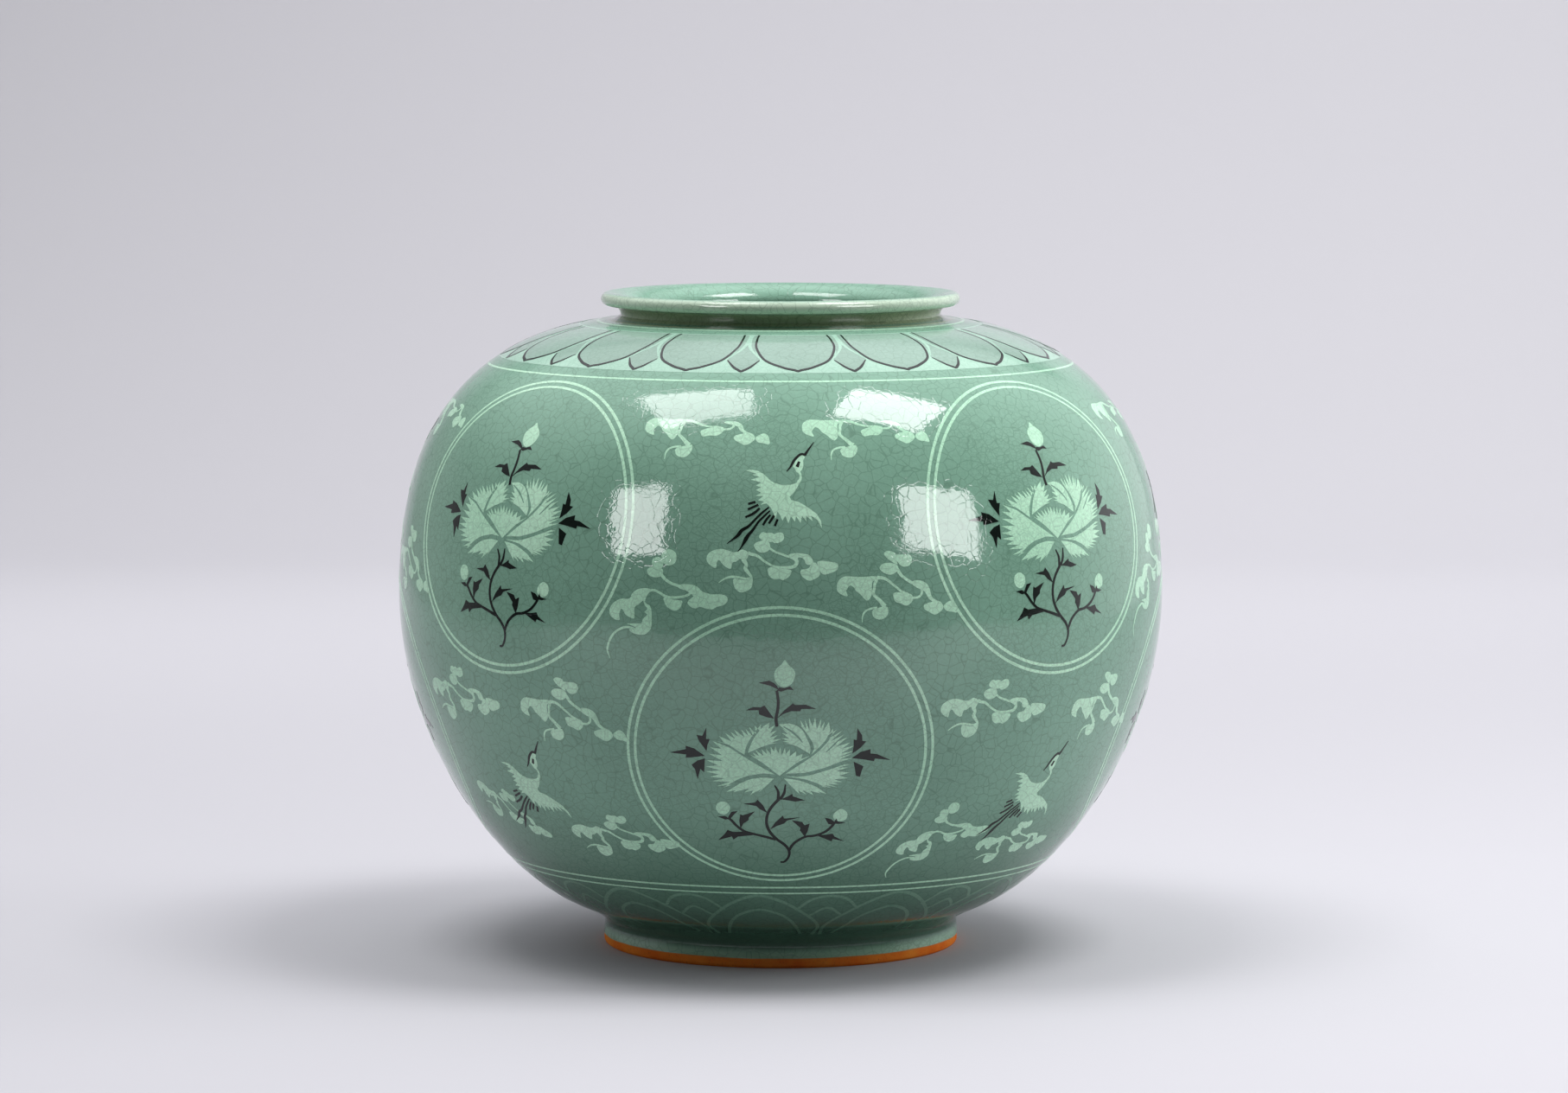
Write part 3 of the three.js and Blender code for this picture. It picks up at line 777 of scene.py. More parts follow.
# %% Strokes, leaves and feathered edges
def curve_through(points, step=0.8, closed=False):
    """A smooth line through the points, as a brush would take them."""
    points = np.array(points, float)
    if len(points) < 3:
        return points
    if closed:
        padded = np.vstack([points[-1], points, points[0], points[1]])
    else:
        padded = np.vstack([2 * points[0] - points[1], points, 2 * points[-1] - points[-2]])
    line = []
    for p0, p1, p2, p3 in zip(padded, padded[1:], padded[2:], padded[3:]):
        steps = max(2, math.ceil(np.linalg.norm(p2 - p1) / step))
        bend, twist = 2 * p0 - 5 * p1 + 4 * p2 - p3, 3 * p1 - p0 - 3 * p2 + p3
        for t in np.arange(steps) / steps:
            line.append(0.5 * (2 * p1 + (p2 - p0) * t + bend * t**2 + twist * t**3))
    if not closed:
        line.append(points[-1])
    return np.array(line)


def stroke(points, widths, step=0.8):
    """A brush stroke: its width in mm runs through the given widths from start to end."""
    line = curve_through(points, step)
    way = np.gradient(line, axis=0)
    way /= np.linalg.norm(way, axis=1)[:, None] + 1e-9
    side = np.stack([-way[:, 1], way[:, 0]], axis=1)
    run = np.concatenate([[0], np.cumsum(np.linalg.norm(np.diff(line, axis=0), axis=1))])
    half = np.interp(run / run[-1], np.linspace(0, 1, len(widths)), widths)[:, None] / 2
    return np.vstack([line + side * half, (line - side * half)[::-1]])


def shape(points, step=0.8):
    """A closed outline with a smooth edge."""
    return curve_through(points, step, closed=True)


SHORT_BARB = 0.12  # how much lower an added barb ends, as a share of the notches' depth


def barbed(tips, heart, depth, widest=2.9):
    """A feathered edge: from each barb's tip down into a narrow notch that points at the heart, and up
    to the next tip. A short barb is added where two tips stand far apart."""
    heart = np.array(heart, float)

    def sunk(spot, by):
        return spot + (heart - spot) / np.linalg.norm(heart - spot) * by

    full = [np.array(tips[0], float)]
    for tip in np.array(tips[1:], float):
        if np.linalg.norm(tip - full[-1]) > widest:
            full.append(sunk((tip + full[-1]) / 2, SHORT_BARB * depth))
        full.append(tip)
    edge = [full[0]]
    for i, (before, after) in enumerate(zip(full, full[1:])):
        # the notches go down to five slightly different depths, as a hand cuts them
        uneven = 1.1 + 0.5 * (i * 7 % 5) / 4
        edge += [sunk((before + after) / 2, depth * uneven), after]
    return edge

# %% [markdown]
# Medallion rings
#
# Each medallion has two white rings, close together, struck with a compass on the round wall. A plain
# circle, laid on like the other drawings, would come out smaller where the wall curves more. So the
# flat drawing is corrected until every point keeps its straight distance from the middle once it is on
# the wall, because that is what a compass does.

# %% Rings
RING_RADIUS = 57.9
RING_SPACING = 2.8
RING_TO_LINE = 62.7  # from a row of middles to the level line under or over it
RING_WIDTH = 1.1
RING_SHARES = (-1, -0.4, 0.4, 1)  # points across a ring, as shares of half its width
LOWER_ROW = BASE_LINE + RING_TO_LINE
UPPER_ROW = SHOULDER_LINE - RING_TO_LINE


def on_wall(arc, turn):
    """The point of the wall at an arc and a turn, in mm."""
    (radius, height), _ = wall_at(arc)
    return np.array([radius * math.sin(turn), -radius * math.cos(turn), height])


def compass_ring(arc, radius, width, stations=144):
    """Flat drawing of a ring that is round on the wall about the given arc."""
    middle = on_wall(arc, 0)
    top, across = [], len(RING_SHARES)
    for angle in 2 * math.pi * np.arange(stations) / stations:
        way = np.array([math.cos(angle), math.sin(angle)])
        for share in RING_SHARES:
            distance = radius + share * width / 2
            reach = distance
            for _ in range(5):
                x, y = reach * way
                here = on_wall(arc + y, x / wall_at(arc + y)[0][0])
                reach *= distance / np.linalg.norm(here - middle)
            top.append(tuple(reach * way))
    count = len(top)
    verts = [(x * MM, y * MM, z * MM) for z in (PROUD, -SUNK) for x, y in top]
    faces = []
    for i in range(stations):
        here, after = i * across, (i + 1) % stations * across
        for j in range(across - 1):
            faces.append((here + j, here + j + 1, after + j + 1, after + j))
            faces.append((count + after + j, count + after + j + 1, count + here + j + 1, count + here + j))
        faces.append((here, after, count + after, count + here))
        last = across - 1
        faces.append((after + last, here + last, count + here + last, count + after + last))
    mesh = bpy.data.meshes.new("ring")
    mesh.from_pydata(verts, [], faces)
    return mesh


QUARTERS = (0, 90, 180, 270)
HALVES = (0, 180)
for row, arc, first in (("upper", UPPER_ROW, 45), ("lower", LOWER_ROW, 0)):
    for ring_name, radius in (("outer", RING_RADIUS), ("inner", RING_RADIUS - RING_SPACING)):
        lay(
            f"{row}_{ring_name}_rings",
            compass_ring(arc, radius, RING_WIDTH),
            [(arc, first + quarter, 0, 1) for quarter in QUARTERS],
            white_slip,
            [f"{row}_medallion_{i}_{ring_name}_ring" for i in (1, 2, 3, 4)],
        )

# %% [markdown]
# Lotus collar on the shoulder
#
# A band of white slip lies on the shoulder, and green lotus petals stand in it: sixteen broad ones
# and the tips of sixteen more behind them. A thin black line is inlaid along each petal's edge. The
# petals could be cut out of the band, as the carver does. Laid over it, each layer a little higher
# than the one below, they look the same and stay simple: the band is turned, and the petals are a few
# drawings laid sixteen times.

# %% White band
GROUND_BOTTOM = SHOULDER_LINE + 5.0
GROUND_TOP = COLLAR_LINE - 6.6
turned("lotus_band", band_section(GROUND_BOTTOM, GROUND_TOP), collar_slip, ("lotus_ground",))

# %% Petals
PETAL_TURN = 3.5  # degrees from the front to the nearest petal
PETALS = 16
PETAL_ARC = 268.5  # arc of the petals' tips
PETAL_TOP = GROUND_TOP - 1.0 - PETAL_ARC
edge_side = [(0, -0.6), (1.2, 0.0), (6.0, 2.0), (12.2, 7.2), (14.7, 16.9), (14.0, 25.5), (12.8, PETAL_TOP)]
green_side = [(0, -0.6), (1.2, 0.0), (6.0, 2.0), (12.3, 7.2), (15.5, 16.9), (15.0, 25.5), (13.8, PETAL_TOP)]
halo_side = [(14.4, 8.4), (17.0, 16.9), (16.5, 25.5), (15.2, PETAL_TOP)]
behind_side = [(0, -0.8), (0.9, -0.2), (3.2, 2.0), (6.1, 6.8), (5.4, 9.0), (3.6, 14.0), (3.0, 24.0),
               (2.6, PETAL_TOP)]


def both_sides(side, brush=curve_through):
    """A symmetrical line from one end over the tip to the other end."""
    return brush([(-x, y) for x, y in side[:0:-1]] + list(side))


petal_step = 360 / PETALS
broad_places = [(PETAL_ARC, PETAL_TURN + i * petal_step, 0, 1) for i in range(PETALS)]
behind_places = [(PETAL_ARC, PETAL_TURN + (i + 0.5) * petal_step, 0, 1) for i in range(PETALS)]
halos = [stroke([(side * x, y) for x, y in halo_side], [0.3, 1.2, 1.3, 1.2]) for side in (-1, 1)]
broad_line = stroke(both_sides(edge_side), [0.7, 1.0, 1.2, 1.0, 0.7])
tip_line = stroke(both_sides(behind_side[:4]), [0.4, 1.0, 1.2, 1.0, 0.4])
lay("petals_behind", slab([both_sides(behind_side)], proud=0.08), behind_places, petal_green)
lay("petal_halos", slab(halos, proud=0.11), broad_places, collar_slip)
lay("broad_petals", slab([both_sides(green_side)], proud=0.14), broad_places, petal_green)
lay("petal_tip_lines", slab([tip_line], proud=0.14), behind_places, black_slip)
lay("broad_petal_lines", slab([broad_line], proud=0.17), broad_places, black_slip)

# %% [markdown]
# Lotus petals over the foot
#
# Twelve double petals rise from the foot in thin pale lines, with twelve more behind them. The glaze
# runs thick there, so the lines sink into it and go out towards the foot, darkened further by the
# painted shade that the lower bowl carries. Whole petals could be laid over one another, but only
# their lines show on the jar. So strokes are laid, and those of the petals behind stop where the
# front ones begin.

# %% Petals over the foot
BASE_PETALS = 12
BASE_TURN = -4.6  # degrees from the front to the nearest petal
outer_side = [(0, 43.9), (6.5, 41.6), (13.3, 35.6), (19.5, 26.0), (21.0, 17.5), (18.0, 7.0)]
inner_side = [(0, 34.2), (7.3, 30.5), (11.0, 25.0), (12.8, 17.5), (13.6, 8.0)]
hidden_outer = [(0, 43.5), (7.0, 41.0), (12.0, 33.6)]
hidden_inner = [(0, 35.2), (6.4, 29.0)]
front_lines = [
    stroke(both_sides(outer_side), [1.3, 1.7, 1.3]),
    stroke(both_sides(inner_side), [1.3, 1.6, 1.3]),
]
hidden_lines = [
    stroke(both_sides(hidden_outer), [1.2, 1.5, 1.2]),
    stroke(both_sides(hidden_inner), [1.1, 1.4, 1.1]),
]
base_step = 360 / BASE_PETALS
front_places = [(0, BASE_TURN + i * base_step, 0, 1) for i in range(BASE_PETALS)]
hidden_places = [(0, BASE_TURN + (i + 0.5) * base_step, 0, 1) for i in range(BASE_PETALS)]
lay("base_petal_lines", slab(front_lines), front_places, base_line_slip)
lay("base_petal_lines_behind", slab(hidden_lines), hidden_places, base_line_slip)

# %% [markdown]
# Peony spray
#
# Each medallion holds one peony: a wide open flower with feathered petals in white slip, a bud over
# it and two on side shoots below, and stems and small spiny leaves in black slip. The petals are
# drawn one by one about the flower's heart. Each ends in barbs, as the carver's strokes leave it,
# and thin dark lines part them.

# %% Flower
HEART = (-0.8, -7.1)


def petal(side_in, tips, side_out, depth, heart=HEART):
    """One feathered petal: out along one side, round the barbs and back along the other side."""
    way_out, way_back = curve_through(side_in, 1.5), curve_through(side_out, 1.5)
    return np.array([*way_out, *barbed(tips, heart, depth), *way_back])


far_left = petal(
    [(-2.6, -6.7), (-6.9, -4.1), (-13.3, 0.1), (-19.7, 4.5)],
    [(-25.8, 6.9), (-26.7, 4.3), (-27.2, 1.6), (-28, -1.1), (-28.4, -3.7), (-28.4, -5.9), (-26.8, -8.1),
     (-26.1, -10), (-24.3, -12.1), (-22, -12.8)],
    [(-16.5, -9.1), (-12.8, -7.5), (-6.9, -6.3)],
    3.8,
)
high_left = petal(
    [(-13.8, 1.4), (-13.3, 4.5), (-11.7, 8), (-9, 12.1)],
    [(-7.7, 13.9), (-10.1, 13.5), (-12.2, 13), (-15.1, 11.8), (-17.7, 11.7), (-21, 10.2), (-23.4, 9),
     (-25.4, 7.2)],
    [(-19.7, 5.5)],
    2.8,
)
inner_left = petal(
    [(-12.5, 2.3), (-11.9, 4.5), (-10.1, 8.7), (-6.9, 13)],
    [(-4.5, 14.7), (-2.6, 13.6), (-1.8, 11.6), (-1.5, 9.6), (-0.1, 8), (-1.5, 6.5)],
    [(-4.2, 5.9), (-7.9, 4.6)],
    2.2,
    (-9.5, 5.0),
)
middle_petal = petal(
    [(-0.8, -7.3), (-6.9, -2)],
    [(-12.1, 1.7), (-9.8, 3.5), (-7.5, 3.8), (-5.8, 4.1), (-4.1, 4.8), (-2.4, 5.1), (-0.5, 4.7), (1.2, 4.5),
     (3.1, 3.9), (5.4, 3.1), (10.6, 1.1)],
    [(5.4, -2)],
    2.0,
)
inner_right = petal(
    [(5.9, 4.9), (2.2, 6.2)],
    [(1.4, 6.2), (0, 7.1), (-0.3, 8.4), (0, 10.4), (0.3, 12.2), (-1.1, 13.9)],
    [(2.7, 14.3), (5.6, 13.3), (8, 11), (9.6, 7.5), (10.7, 4.5), (10.4, 1.9)],
    2.0,
    (8.0, 6.0),
)
high_right = petal(
    [(11, 1.6), (12, 3.9), (11.5, 6.3), (9.6, 9.8)],
    [(5.1, 15.9), (6.9, 15.6), (10.1, 16.6), (12.4, 16.6), (14.6, 15.9), (17.5, 14.6)],
    [(18.1, 11.4), (16.3, 7.4), (13.9, 4.5)],
    3.0,
    (12.0, 3.0),
)
far_right = petal(
    [(1.4, -6.5), (5.9, -3.2), (11.2, 0.7), (14.4, 3.6), (17.1, 6.8), (19, 10.2)],
    [(19.1, 12), (20.6, 11.7), (22.7, 11.2), (24.5, 8.4), (25.6, 6.3), (27.1, 4.9), (26.9, 2.7),
     (26.3, 1.6), (26.4, -0.2)],
    [(22, -1.6), (15.5, -4.2), (8.6, -6.1)],
    3.8,
)
low_right = petal(
    [(1.4, -7.6), (8.6, -7.5), (15.5, -5.6), (22, -3.3)],
    [(26.9, -1.7), (24.7, -4.1), (25.4, -6.3), (24.7, -8.7), (22.7, -10.3), (20.7, -12.5), (17.3, -13.1)],
    [(12.9, -10.5), (8.6, -8.8)],
    2.8,
)
last_right = petal(
    [(0.8, -8.4), (5.9, -9.2), (9.7, -10.6), (13.4, -12.5)],
    [(16.8, -15.4), (14.5, -15.1), (11.9, -15.8), (9.2, -15.5), (6.9, -15.6)],
    [(3.8, -12.1)],
    2.2,
)
last_left = petal(
    [(-2.9, -8.5), (-6.9, -8.1), (-11.7, -8.9), (-15.5, -10.7)],
    [(-20.6, -14.5), (-18, -14.7), (-16.3, -14.1), (-13.8, -14.6), (-11.7, -15.8), (-10.1, -14.7),
     (-8.5, -14.5)],
    [(-5.3, -11.2)],
    2.2,
)
flower = [far_left, high_left, inner_left, middle_petal, inner_right, high_right, far_right]
flower += [low_right, last_right, last_left]
creases = [
    stroke([(0.6, 13), (3.7, 11), (6.4, 8.4), (7.7, 6.6)], [0.4, 0.8, 0.4]),
    stroke([(16.6, 2.6), (19, 5), (21.7, 7.9)], [0.3, 0.6, 0.3]),
]
print("petals", len(flower))

# %% Buds, stems and leaves
buds = [
    shape([(1.1, 38.8), (2.4, 37.1), (4.5, 35), (5, 32.8), (3.7, 29.8), (0.8, 28.4), (-1.8, 29.8),
           (-2.8, 32.8), (-2.1, 35.3), (0, 37.2)]),
    shape([(-21.7, -18.9), (-19.7, -20.3), (-19.5, -22.9), (-21.4, -24.8), (-23.7, -24), (-24.7, -21.8),
           (-23.9, -19.6)]),
    shape([(22.7, -22.4), (24.6, -24.1), (24.4, -26.8), (22.2, -28), (19.7, -27), (19.4, -24.9),
           (20.8, -23)]),
]
stems = [
    stroke([(-1.8, 13), (-2.1, 16.2), (-1.5, 19.6), (-1.3, 22.9), (-1.8, 27.1)], [1.15, 1.1, 1.0]),
    stroke([(-2.6, -11.5), (-1.3, -14.3), (-1.3, -17.6)], [0.5, 1.0, 1.1]),
    stroke([(1.4, -11.1), (0.9, -14.9), (-0.6, -17.6)], [0.5, 1.0, 1.1]),
    stroke([(-1, -17.5), (-3.7, -21), (-5.3, -24.7), (-5.6, -28.7), (-4.5, -32.5), (-2.1, -36),
            (1.2, -39.2), (2.8, -42.1), (2.7, -45.1), (1.2, -47.8),
            (-0.4, -48.1)], [1.15, 1.05, 1.15, 1.1, 0.8]),
    stroke([(-2.1, -36.5), (-6.9, -34.9), (-11.2, -33.6), (-13.9, -32.6), (-16.6, -30.3), (-18.7, -27.6),
            (-20.1, -26.3)], [1.1, 1.0, 1.0]),
    stroke([(2.8, -41.8), (4.9, -38.1), (8.7, -35.3), (12.4, -34.7), (16.2, -33), (18.9, -30.3),
            (19.6, -29)], [1.1, 1.0, 1.0]),
]
leaves_by_the_bud = [
    [(-2.9, 16.2), (-4.8, 19), (-5.9, 20.6), (-7.1, 19.9), (-9.5, 20), (-11.7, 18.9), (-7.7, 19),
     (-7.6, 17.6), (-5.3, 16.7)],
    [(-1.8, 16.2), (0.6, 19), (3.3, 21.3), (4, 20.7), (7.4, 20.8), (10.6, 19.4), (5.9, 19.4), (5.6, 18.6),
     (2.7, 18.7), (0, 17.6)],
    [(-1.1, 27.4), (-3.7, 28.7), (-7.4, 29.7), (-4.2, 30.4), (-2.6, 29.6), (-1.6, 28.6)],
    [(-1.7, 27.2), (-1.1, 28.2), (0.5, 27.9), (2.4, 28.5), (3.5, 27.3), (1.6, 27.5), (-0.5, 26.8)],
]
leaves_left = [
    [(-28.1, 2.7), (-30.5, 6.2), (-31.3, 8.2), (-29.4, 8), (-28.1, 10.9), (-28.2, 6.9), (-27, 6.9),
     (-27.8, 4.8)],
    [(-28.8, 0.7), (-33.9, -0.1), (-35, -0.1), (-34.8, 1.0), (-40.3, 1.5), (-34.9, 2.9), (-35, 4),
     (-32.2, 3.2)],
    [(-28.7, -0.4), (-29, -5.4), (-30.2, -4.2), (-31.1, -8), (-32, -4.3), (-33.1, -2.8), (-31.1, -1.2)],
]
leaves_right = [
    [(26.4, 1.7), (26.8, 4.2), (26.8, 6.6), (27.8, 6.3), (28, 10.5), (29.5, 8), (29.6, 6), (30.9, 5.8),
     (29, 3.6)],
    [(26.3, -0.2), (29, 1.8), (32.3, 2.8), (32.3, 1.2), (34.5, 0.9), (38.9, -1.3), (33.7, -0.6),
     (33.5, -1.5), (29.6, -0.7)],
    [(26.9, -1.7), (30.1, -3.5), (29.6, -4.9), (29, -7.3), (27.7, -6.9), (27.3, -4.2)],
]
leaves_below = [
    [(-0.2, -17.6), (1.4, -16.8), (3.4, -15.6), (3.5, -16.5), (7.3, -18), (4.3, -18.5), (2.7, -18.1)],
    [(-5.4, -23.7), (-7.7, -22.4), (-8.9, -21.1), (-12.9, -20.3), (-9.3, -19.8), (-8.5, -18.7),
     (-6.8, -20.7)],
    [(-4.3, -31.6), (-2.6, -28.7), (-0.2, -26), (0.1, -27.2), (5.3, -26.7), (1.1, -28), (0.1, -29.2),
     (-2.1, -30.1)],
    [(-15.4, -31.5), (-15.8, -28.2), (-15.5, -25.6), (-14.7, -26), (-10.8, -24.4), (-12.7, -26.8),
     (-12.8, -27.9), (-14.4, -29.2)],
    [(-10.1, -34.3), (-15.5, -35.1), (-16.9, -36.4), (-17.4, -35.1), (-21.8, -36.7), (-19.6, -33.9),
     (-18.8, -32.4), (-17.1, -33.2), (-13.9, -33)],
    [(8.7, -35.1), (7.1, -32.5), (7.3, -31.5), (4.5, -28.4), (7.8, -29.1), (8.6, -30.5), (10.2, -29.8),
     (9.6, -32.9)],
    [(13, -34.5), (16, -34.4), (18.3, -34), (19, -35.3), (22.1, -37.3), (18.4, -36.2), (17.9, -37.2),
     (15.2, -35.7)],
    [(-19.5, -26.8), (-20.9, -27.1), (-23.3, -26), (-20.9, -25.7)],
    [(-20.1, -26.1), (-19, -23.9), (-17, -23.5), (-18.2, -25), (-19.3, -26.6)],
    [(19.2, -29.5), (17.8, -29.3), (16.6, -26.7), (18.6, -27.3), (19.9, -28.6)],
    [(19.3, -29.1), (20.4, -27), (20.8, -28.3), (23.3, -28.8), (21.4, -29.2)],
]
LEAF_GROWTH = 1.17  # each leaf grows from its stem by this much
SPRAY_TURN = 0.2  # degrees by which a spray stands off its medallion's middle
leaves = [np.array(leaf) for leaf in leaves_by_the_bud + leaves_left + leaves_right + leaves_below]
leaves = [leaf[0] + LEAF_GROWTH * (leaf - leaf[0]) for leaf in leaves]
sprays = [(LOWER_ROW, SPRAY_TURN + q, 0, 1) for q in QUARTERS]
sprays += [(UPPER_ROW, 45 + SPRAY_TURN + q, 0, 1) for q in QUARTERS]
lay("peony_flowers", slab(flower + buds), sprays, white_slip)
lay("peony_creases", slab(creases, proud=0.08), sprays, celadon)
lay("peony_stems", slab(stems + leaves, proud=0.08), sprays, black_slip)

# %% [markdown]
# Cranes
#
# Between the medallions cranes fly up through clouds. The bird is white with spread wings that end
# in barbs. Its bill, crown and eye and its long legs and tail are black. It could be modelled in
# relief, but the real one is slip scraped flush with the wall. So it is cut as the carver cuts it: a
# few white outlines, and black strokes over them.

# %% Crane
crane_head = shape([(9.2, 14.9), (10, 14.1), (9.5, 12.9), (9.5, 10.6), (8.4, 8.4), (7.1, 8.1), (6.1, 10),
                    (5.6, 10.6), (6.8, 12.9), (8.1, 14.5)], 0.5)
crane_neck = stroke([(7.8, 8.4), (8.4, 7.2), (8.4, 5.6), (7.7, 4.4)], [0.9, 0.8, 0.9, 1.3], 0.5)
crane_breast = shape([(8.7, 5.5), (7.8, 3.5), (6.8, 1.6), (5, -0.6), (3.9, 1.3), (3.1, 3.2), (4.7, 3.3),
                      (6.5, 3.9), (7.8, 5)])
crane_wings = np.array(
    [
        *[(3.1, 3.2), (1.2, 3.3), (-1.2, 4), (-2.6, 4.9), (-3.7, 6), (-5.3, 7.5), (-7.4, 8.7), (-9.5, 9.1)],
        *[(-12.1, 8.9), (-7.7, 7.5), (-9.5, 7.2), (-6.8, 6.3), (-9.9, 5.2), (-6, 4.2), (-8, 3), (-6.2, 2.3),
          (-8, 1.3), (-6.2, 0.3), (-8.1, -1), (-5.4, -1.1), (-7.2, -2.6), (-5, -3.1), (-6.3, -4.3)],
        *[(-4.1, -3.8), (-2.6, -5.3), (-1.7, -7.1), (-0.7, -9.5), (-0.1, -6.8), (0.8, -8)],
        *[(1.8, -10.3), (2.8, -8.5), (4, -11.3), (4.9, -8.6), (6.4, -10.7), (6.8, -8.6), (8.5, -11.2),
          (9, -8.5), (10.7, -10.6), (10.5, -8.5), (13, -10.5), (12.3, -8.4), (15.3, -10.5), (13.9, -8.4),
          (16.4, -13.2)],
        *[(16.1, -10.5), (14.5, -7.8), (12.1, -6), (10.1, -4.6), (7.7, -3.2), (5, -2.5), (4.5, -1.4),
          (5, -0.6)],
    ]
)
crane_black = [
    stroke([(13.3, 20.2), (11.5, 17.4), (9.9, 14.9)], [0.3, 0.7, 1.1], 0.5),
    stroke([(10, 15.1), (8.6, 15.3), (7.1, 14.1), (5.9, 12.6), (4.7, 10.3),
            (3.3, 8.5)], [0.9, 1.0, 1.0, 0.8, 0.3], 0.5),
    np.array([(7.5, 12.5), (8.4, 12.2), (7.7, 10), (6.6, 10.5)]),
    stroke([(-8.2, -3.2), (-10.9, -4)], [0.9, 0.8]),
    stroke([(-7.1, -4.3), (-11, -6.1)], [0.9, 0.8]),
    stroke([(-6.6, -5.6), (-8.8, -7.5), (-11.9, -9)], [0.9, 1.0, 0.7]),
    stroke([(-2.6, -8), (-4.1, -9.8), (-5.4, -11.9)], [0.7, 0.9, 0.8]),
    stroke([(-1.3, -8.3), (-3.2, -11.3)], [1.0, 0.8]),
    stroke([(0, -9.7), (-1, -12.2)], [0.8, 0.9]),
    stroke([(-3.2, -5.2), (-6.5, -8), (-9.1, -10.7), (-10.9, -12.5), (-13.2, -13.9), (-14.7, -15.8),
            (-16.8, -17.5), (-18.7, -18.9)], [0.5, 0.8, 0.8, 0.9, 1.1, 1.4, 0.7, 0.2]),
    stroke([(-2.8, -6.5), (-5.3, -8.9), (-7.3, -11), (-9.1, -13.7), (-10.9, -15.8), (-12.3, -18.2),
            (-13.5, -20.3), (-14.7, -21.8)], [0.5, 0.8, 0.8, 0.9, 1.1, 1.5, 0.7, 0.2]),
]
crane_places = [(212.5, -0.4 + q, 0, 1) for q in QUARTERS]
crane_places += [(94.0, -45.4 + h, 0, 1) for h in HALVES] + [(91.5, 45.4 + h, 0, 1) for h in HALVES]
crane_body = [crane_head, crane_neck, crane_breast, crane_wings]
lay("cranes_white", slab(crane_body), crane_places, white_slip)
lay("cranes_black", slab(crane_black, proud=0.08), crane_places, black_slip)

# %% [markdown]
# Clouds
#
# The clouds are the mushroom-headed ones of old brocades: a curled cap at the left, a wavy stem with
# puffs hung on it, a crest of three puffs and a tail that hangs down under the cap. The carver drew
# each one afresh, and clouds made by a rule would look too even. So three of them are drawn here, and
# a fourth is bent out of the third, all in solid white slip.

# %% Cloud with a short flat tail
flat_tailed = [
    shape([(-26.4, 0.3), (-25.9, 2.2), (-24.1, 3.6), (-20.9, 4.3), (-18.1, 3.7), (-16.6, 3.2), (-14.7, 3.4),
           (-13.1, 4.2), (-11.4, 3.6), (-10.7, 2.4), (-11.5, 0.5), (-12.8, 0.6), (-14, 0.6), (-15.4, -0.4),
           (-16.6, -0.6), (-17.2, -2.9), (-18.7, -2.6), (-20.3, -1.4), (-21.4, 0), (-22.1, -0),
           (-22.6, -1.1), (-22.8, -2.8), (-24.4, -2.3), (-25.7, -1.1)]),
    stroke([(-12.4, 2.4), (-12.4, 0.3), (-11.5, -1.4), (-11.9, -2.8), (-10.6, -4.6),
            (-9.6, -5.8)], [2.6, 1.9, 1.2, 1.5, 1.2, 0.9]),
    stroke([(-9.2, -6), (-11.3, -6.6), (-13.8, -6.2), (-16.3, -5.9), (-18, -6.1), (-20.2, -7),
            (-21.9, -8.3)], [0.8, 0.8, 0.9, 0.8, 0.2]),
    shape([(-16.2, -6.6), (-13.8, -6.9), (-11.3, -7.1), (-9.3, -6.3), (-9.3, -8.8), (-10.3, -10.5),
           (-13.1, -11.7), (-15.2, -10.8), (-16.2, -8.8)]),
    stroke([(-11, 3.1), (-9.6, 2.4), (-7.5, 1.9), (-4.7, -0.2), (-1.5, -1.9), (1.6, -2.3), (5.1, -2.3),
            (6.8, -1.4), (7, 0.2), (5.8, 1.2)], [1.3, 1.0, 0.8, 0.8, 1.3, 1.4]),
    shape([(-3.5, -2.8), (-1.5, -2.1), (1.6, -2.8), (4.9, -3.3), (5, -4.5), (4.1, -5.9), (2, -7.1),
           (0.6, -6.6), (-1.2, -6.8), (-2.8, -5.8), (-3.5, -4.2)]),
    stroke([(-3.1, 4.9), (-1.2, 3.5), (1.6, 2.5), (3.9, 1.6)], [0.8, 0.8, 0.9]),
    shape([(3.5, 1.6), (4.4, 2.5), (6.5, 2.9), (9.3, 2.7), (11.7, 2.1), (12.8, 0.7), (13.3, -0.7),
           (12.1, -1.4), (11, -1.4), (10.2, -0.7), (10, 0.3), (8.8, 1.2), (7.5, 1.2), (7.4, 0.2),
           (5.8, 0.5)]),
    shape([(-8.7, 5.4), (-8.2, 6.6), (-6.5, 7.3), (-4.7, 7.7), (-3.1, 6.8), (-2.7, 5.3), (-3.5, 3.7),
           (-5.7, 3), (-7.5, 3.7)]),
    shape([(-6.8, 9.1), (-6.3, 10.2), (-5.1, 10.7), (-4, 10.3), (-3, 10.5), (-1.6, 10.2), (-1.2, 9.1),
           (-1.6, 7.4), (-2.3, 7), (-4.7, 7.4), (-6.5, 8.2)]),
    shape([(-1.9, 9.3), (-0.2, 10.4), (1.6, 10.5), (2.4, 9.1), (1.9, 7.5), (-0.2, 6.6), (-1.7, 7)]),
    shape([(8.4, -4.2), (8.9, -3.2), (11.4, -2.7), (12.5, -1.1), (13.9, -0.6), (14.9, -1.8), (15.6, -3.9),
           (15.3, -5.7), (12.1, -7.3), (10, -6.5), (8.8, -5.3)]),
    shape([(14.7, -0.4), (16.3, -0), (18.8, -0.3), (21.3, -0.7), (22.5, -1.6), (22.1, -3.3), (21.3, -3.9),
           (19.8, -4.5), (17.4, -5.1), (16, -4.3), (15.1, -2.2)]),
]

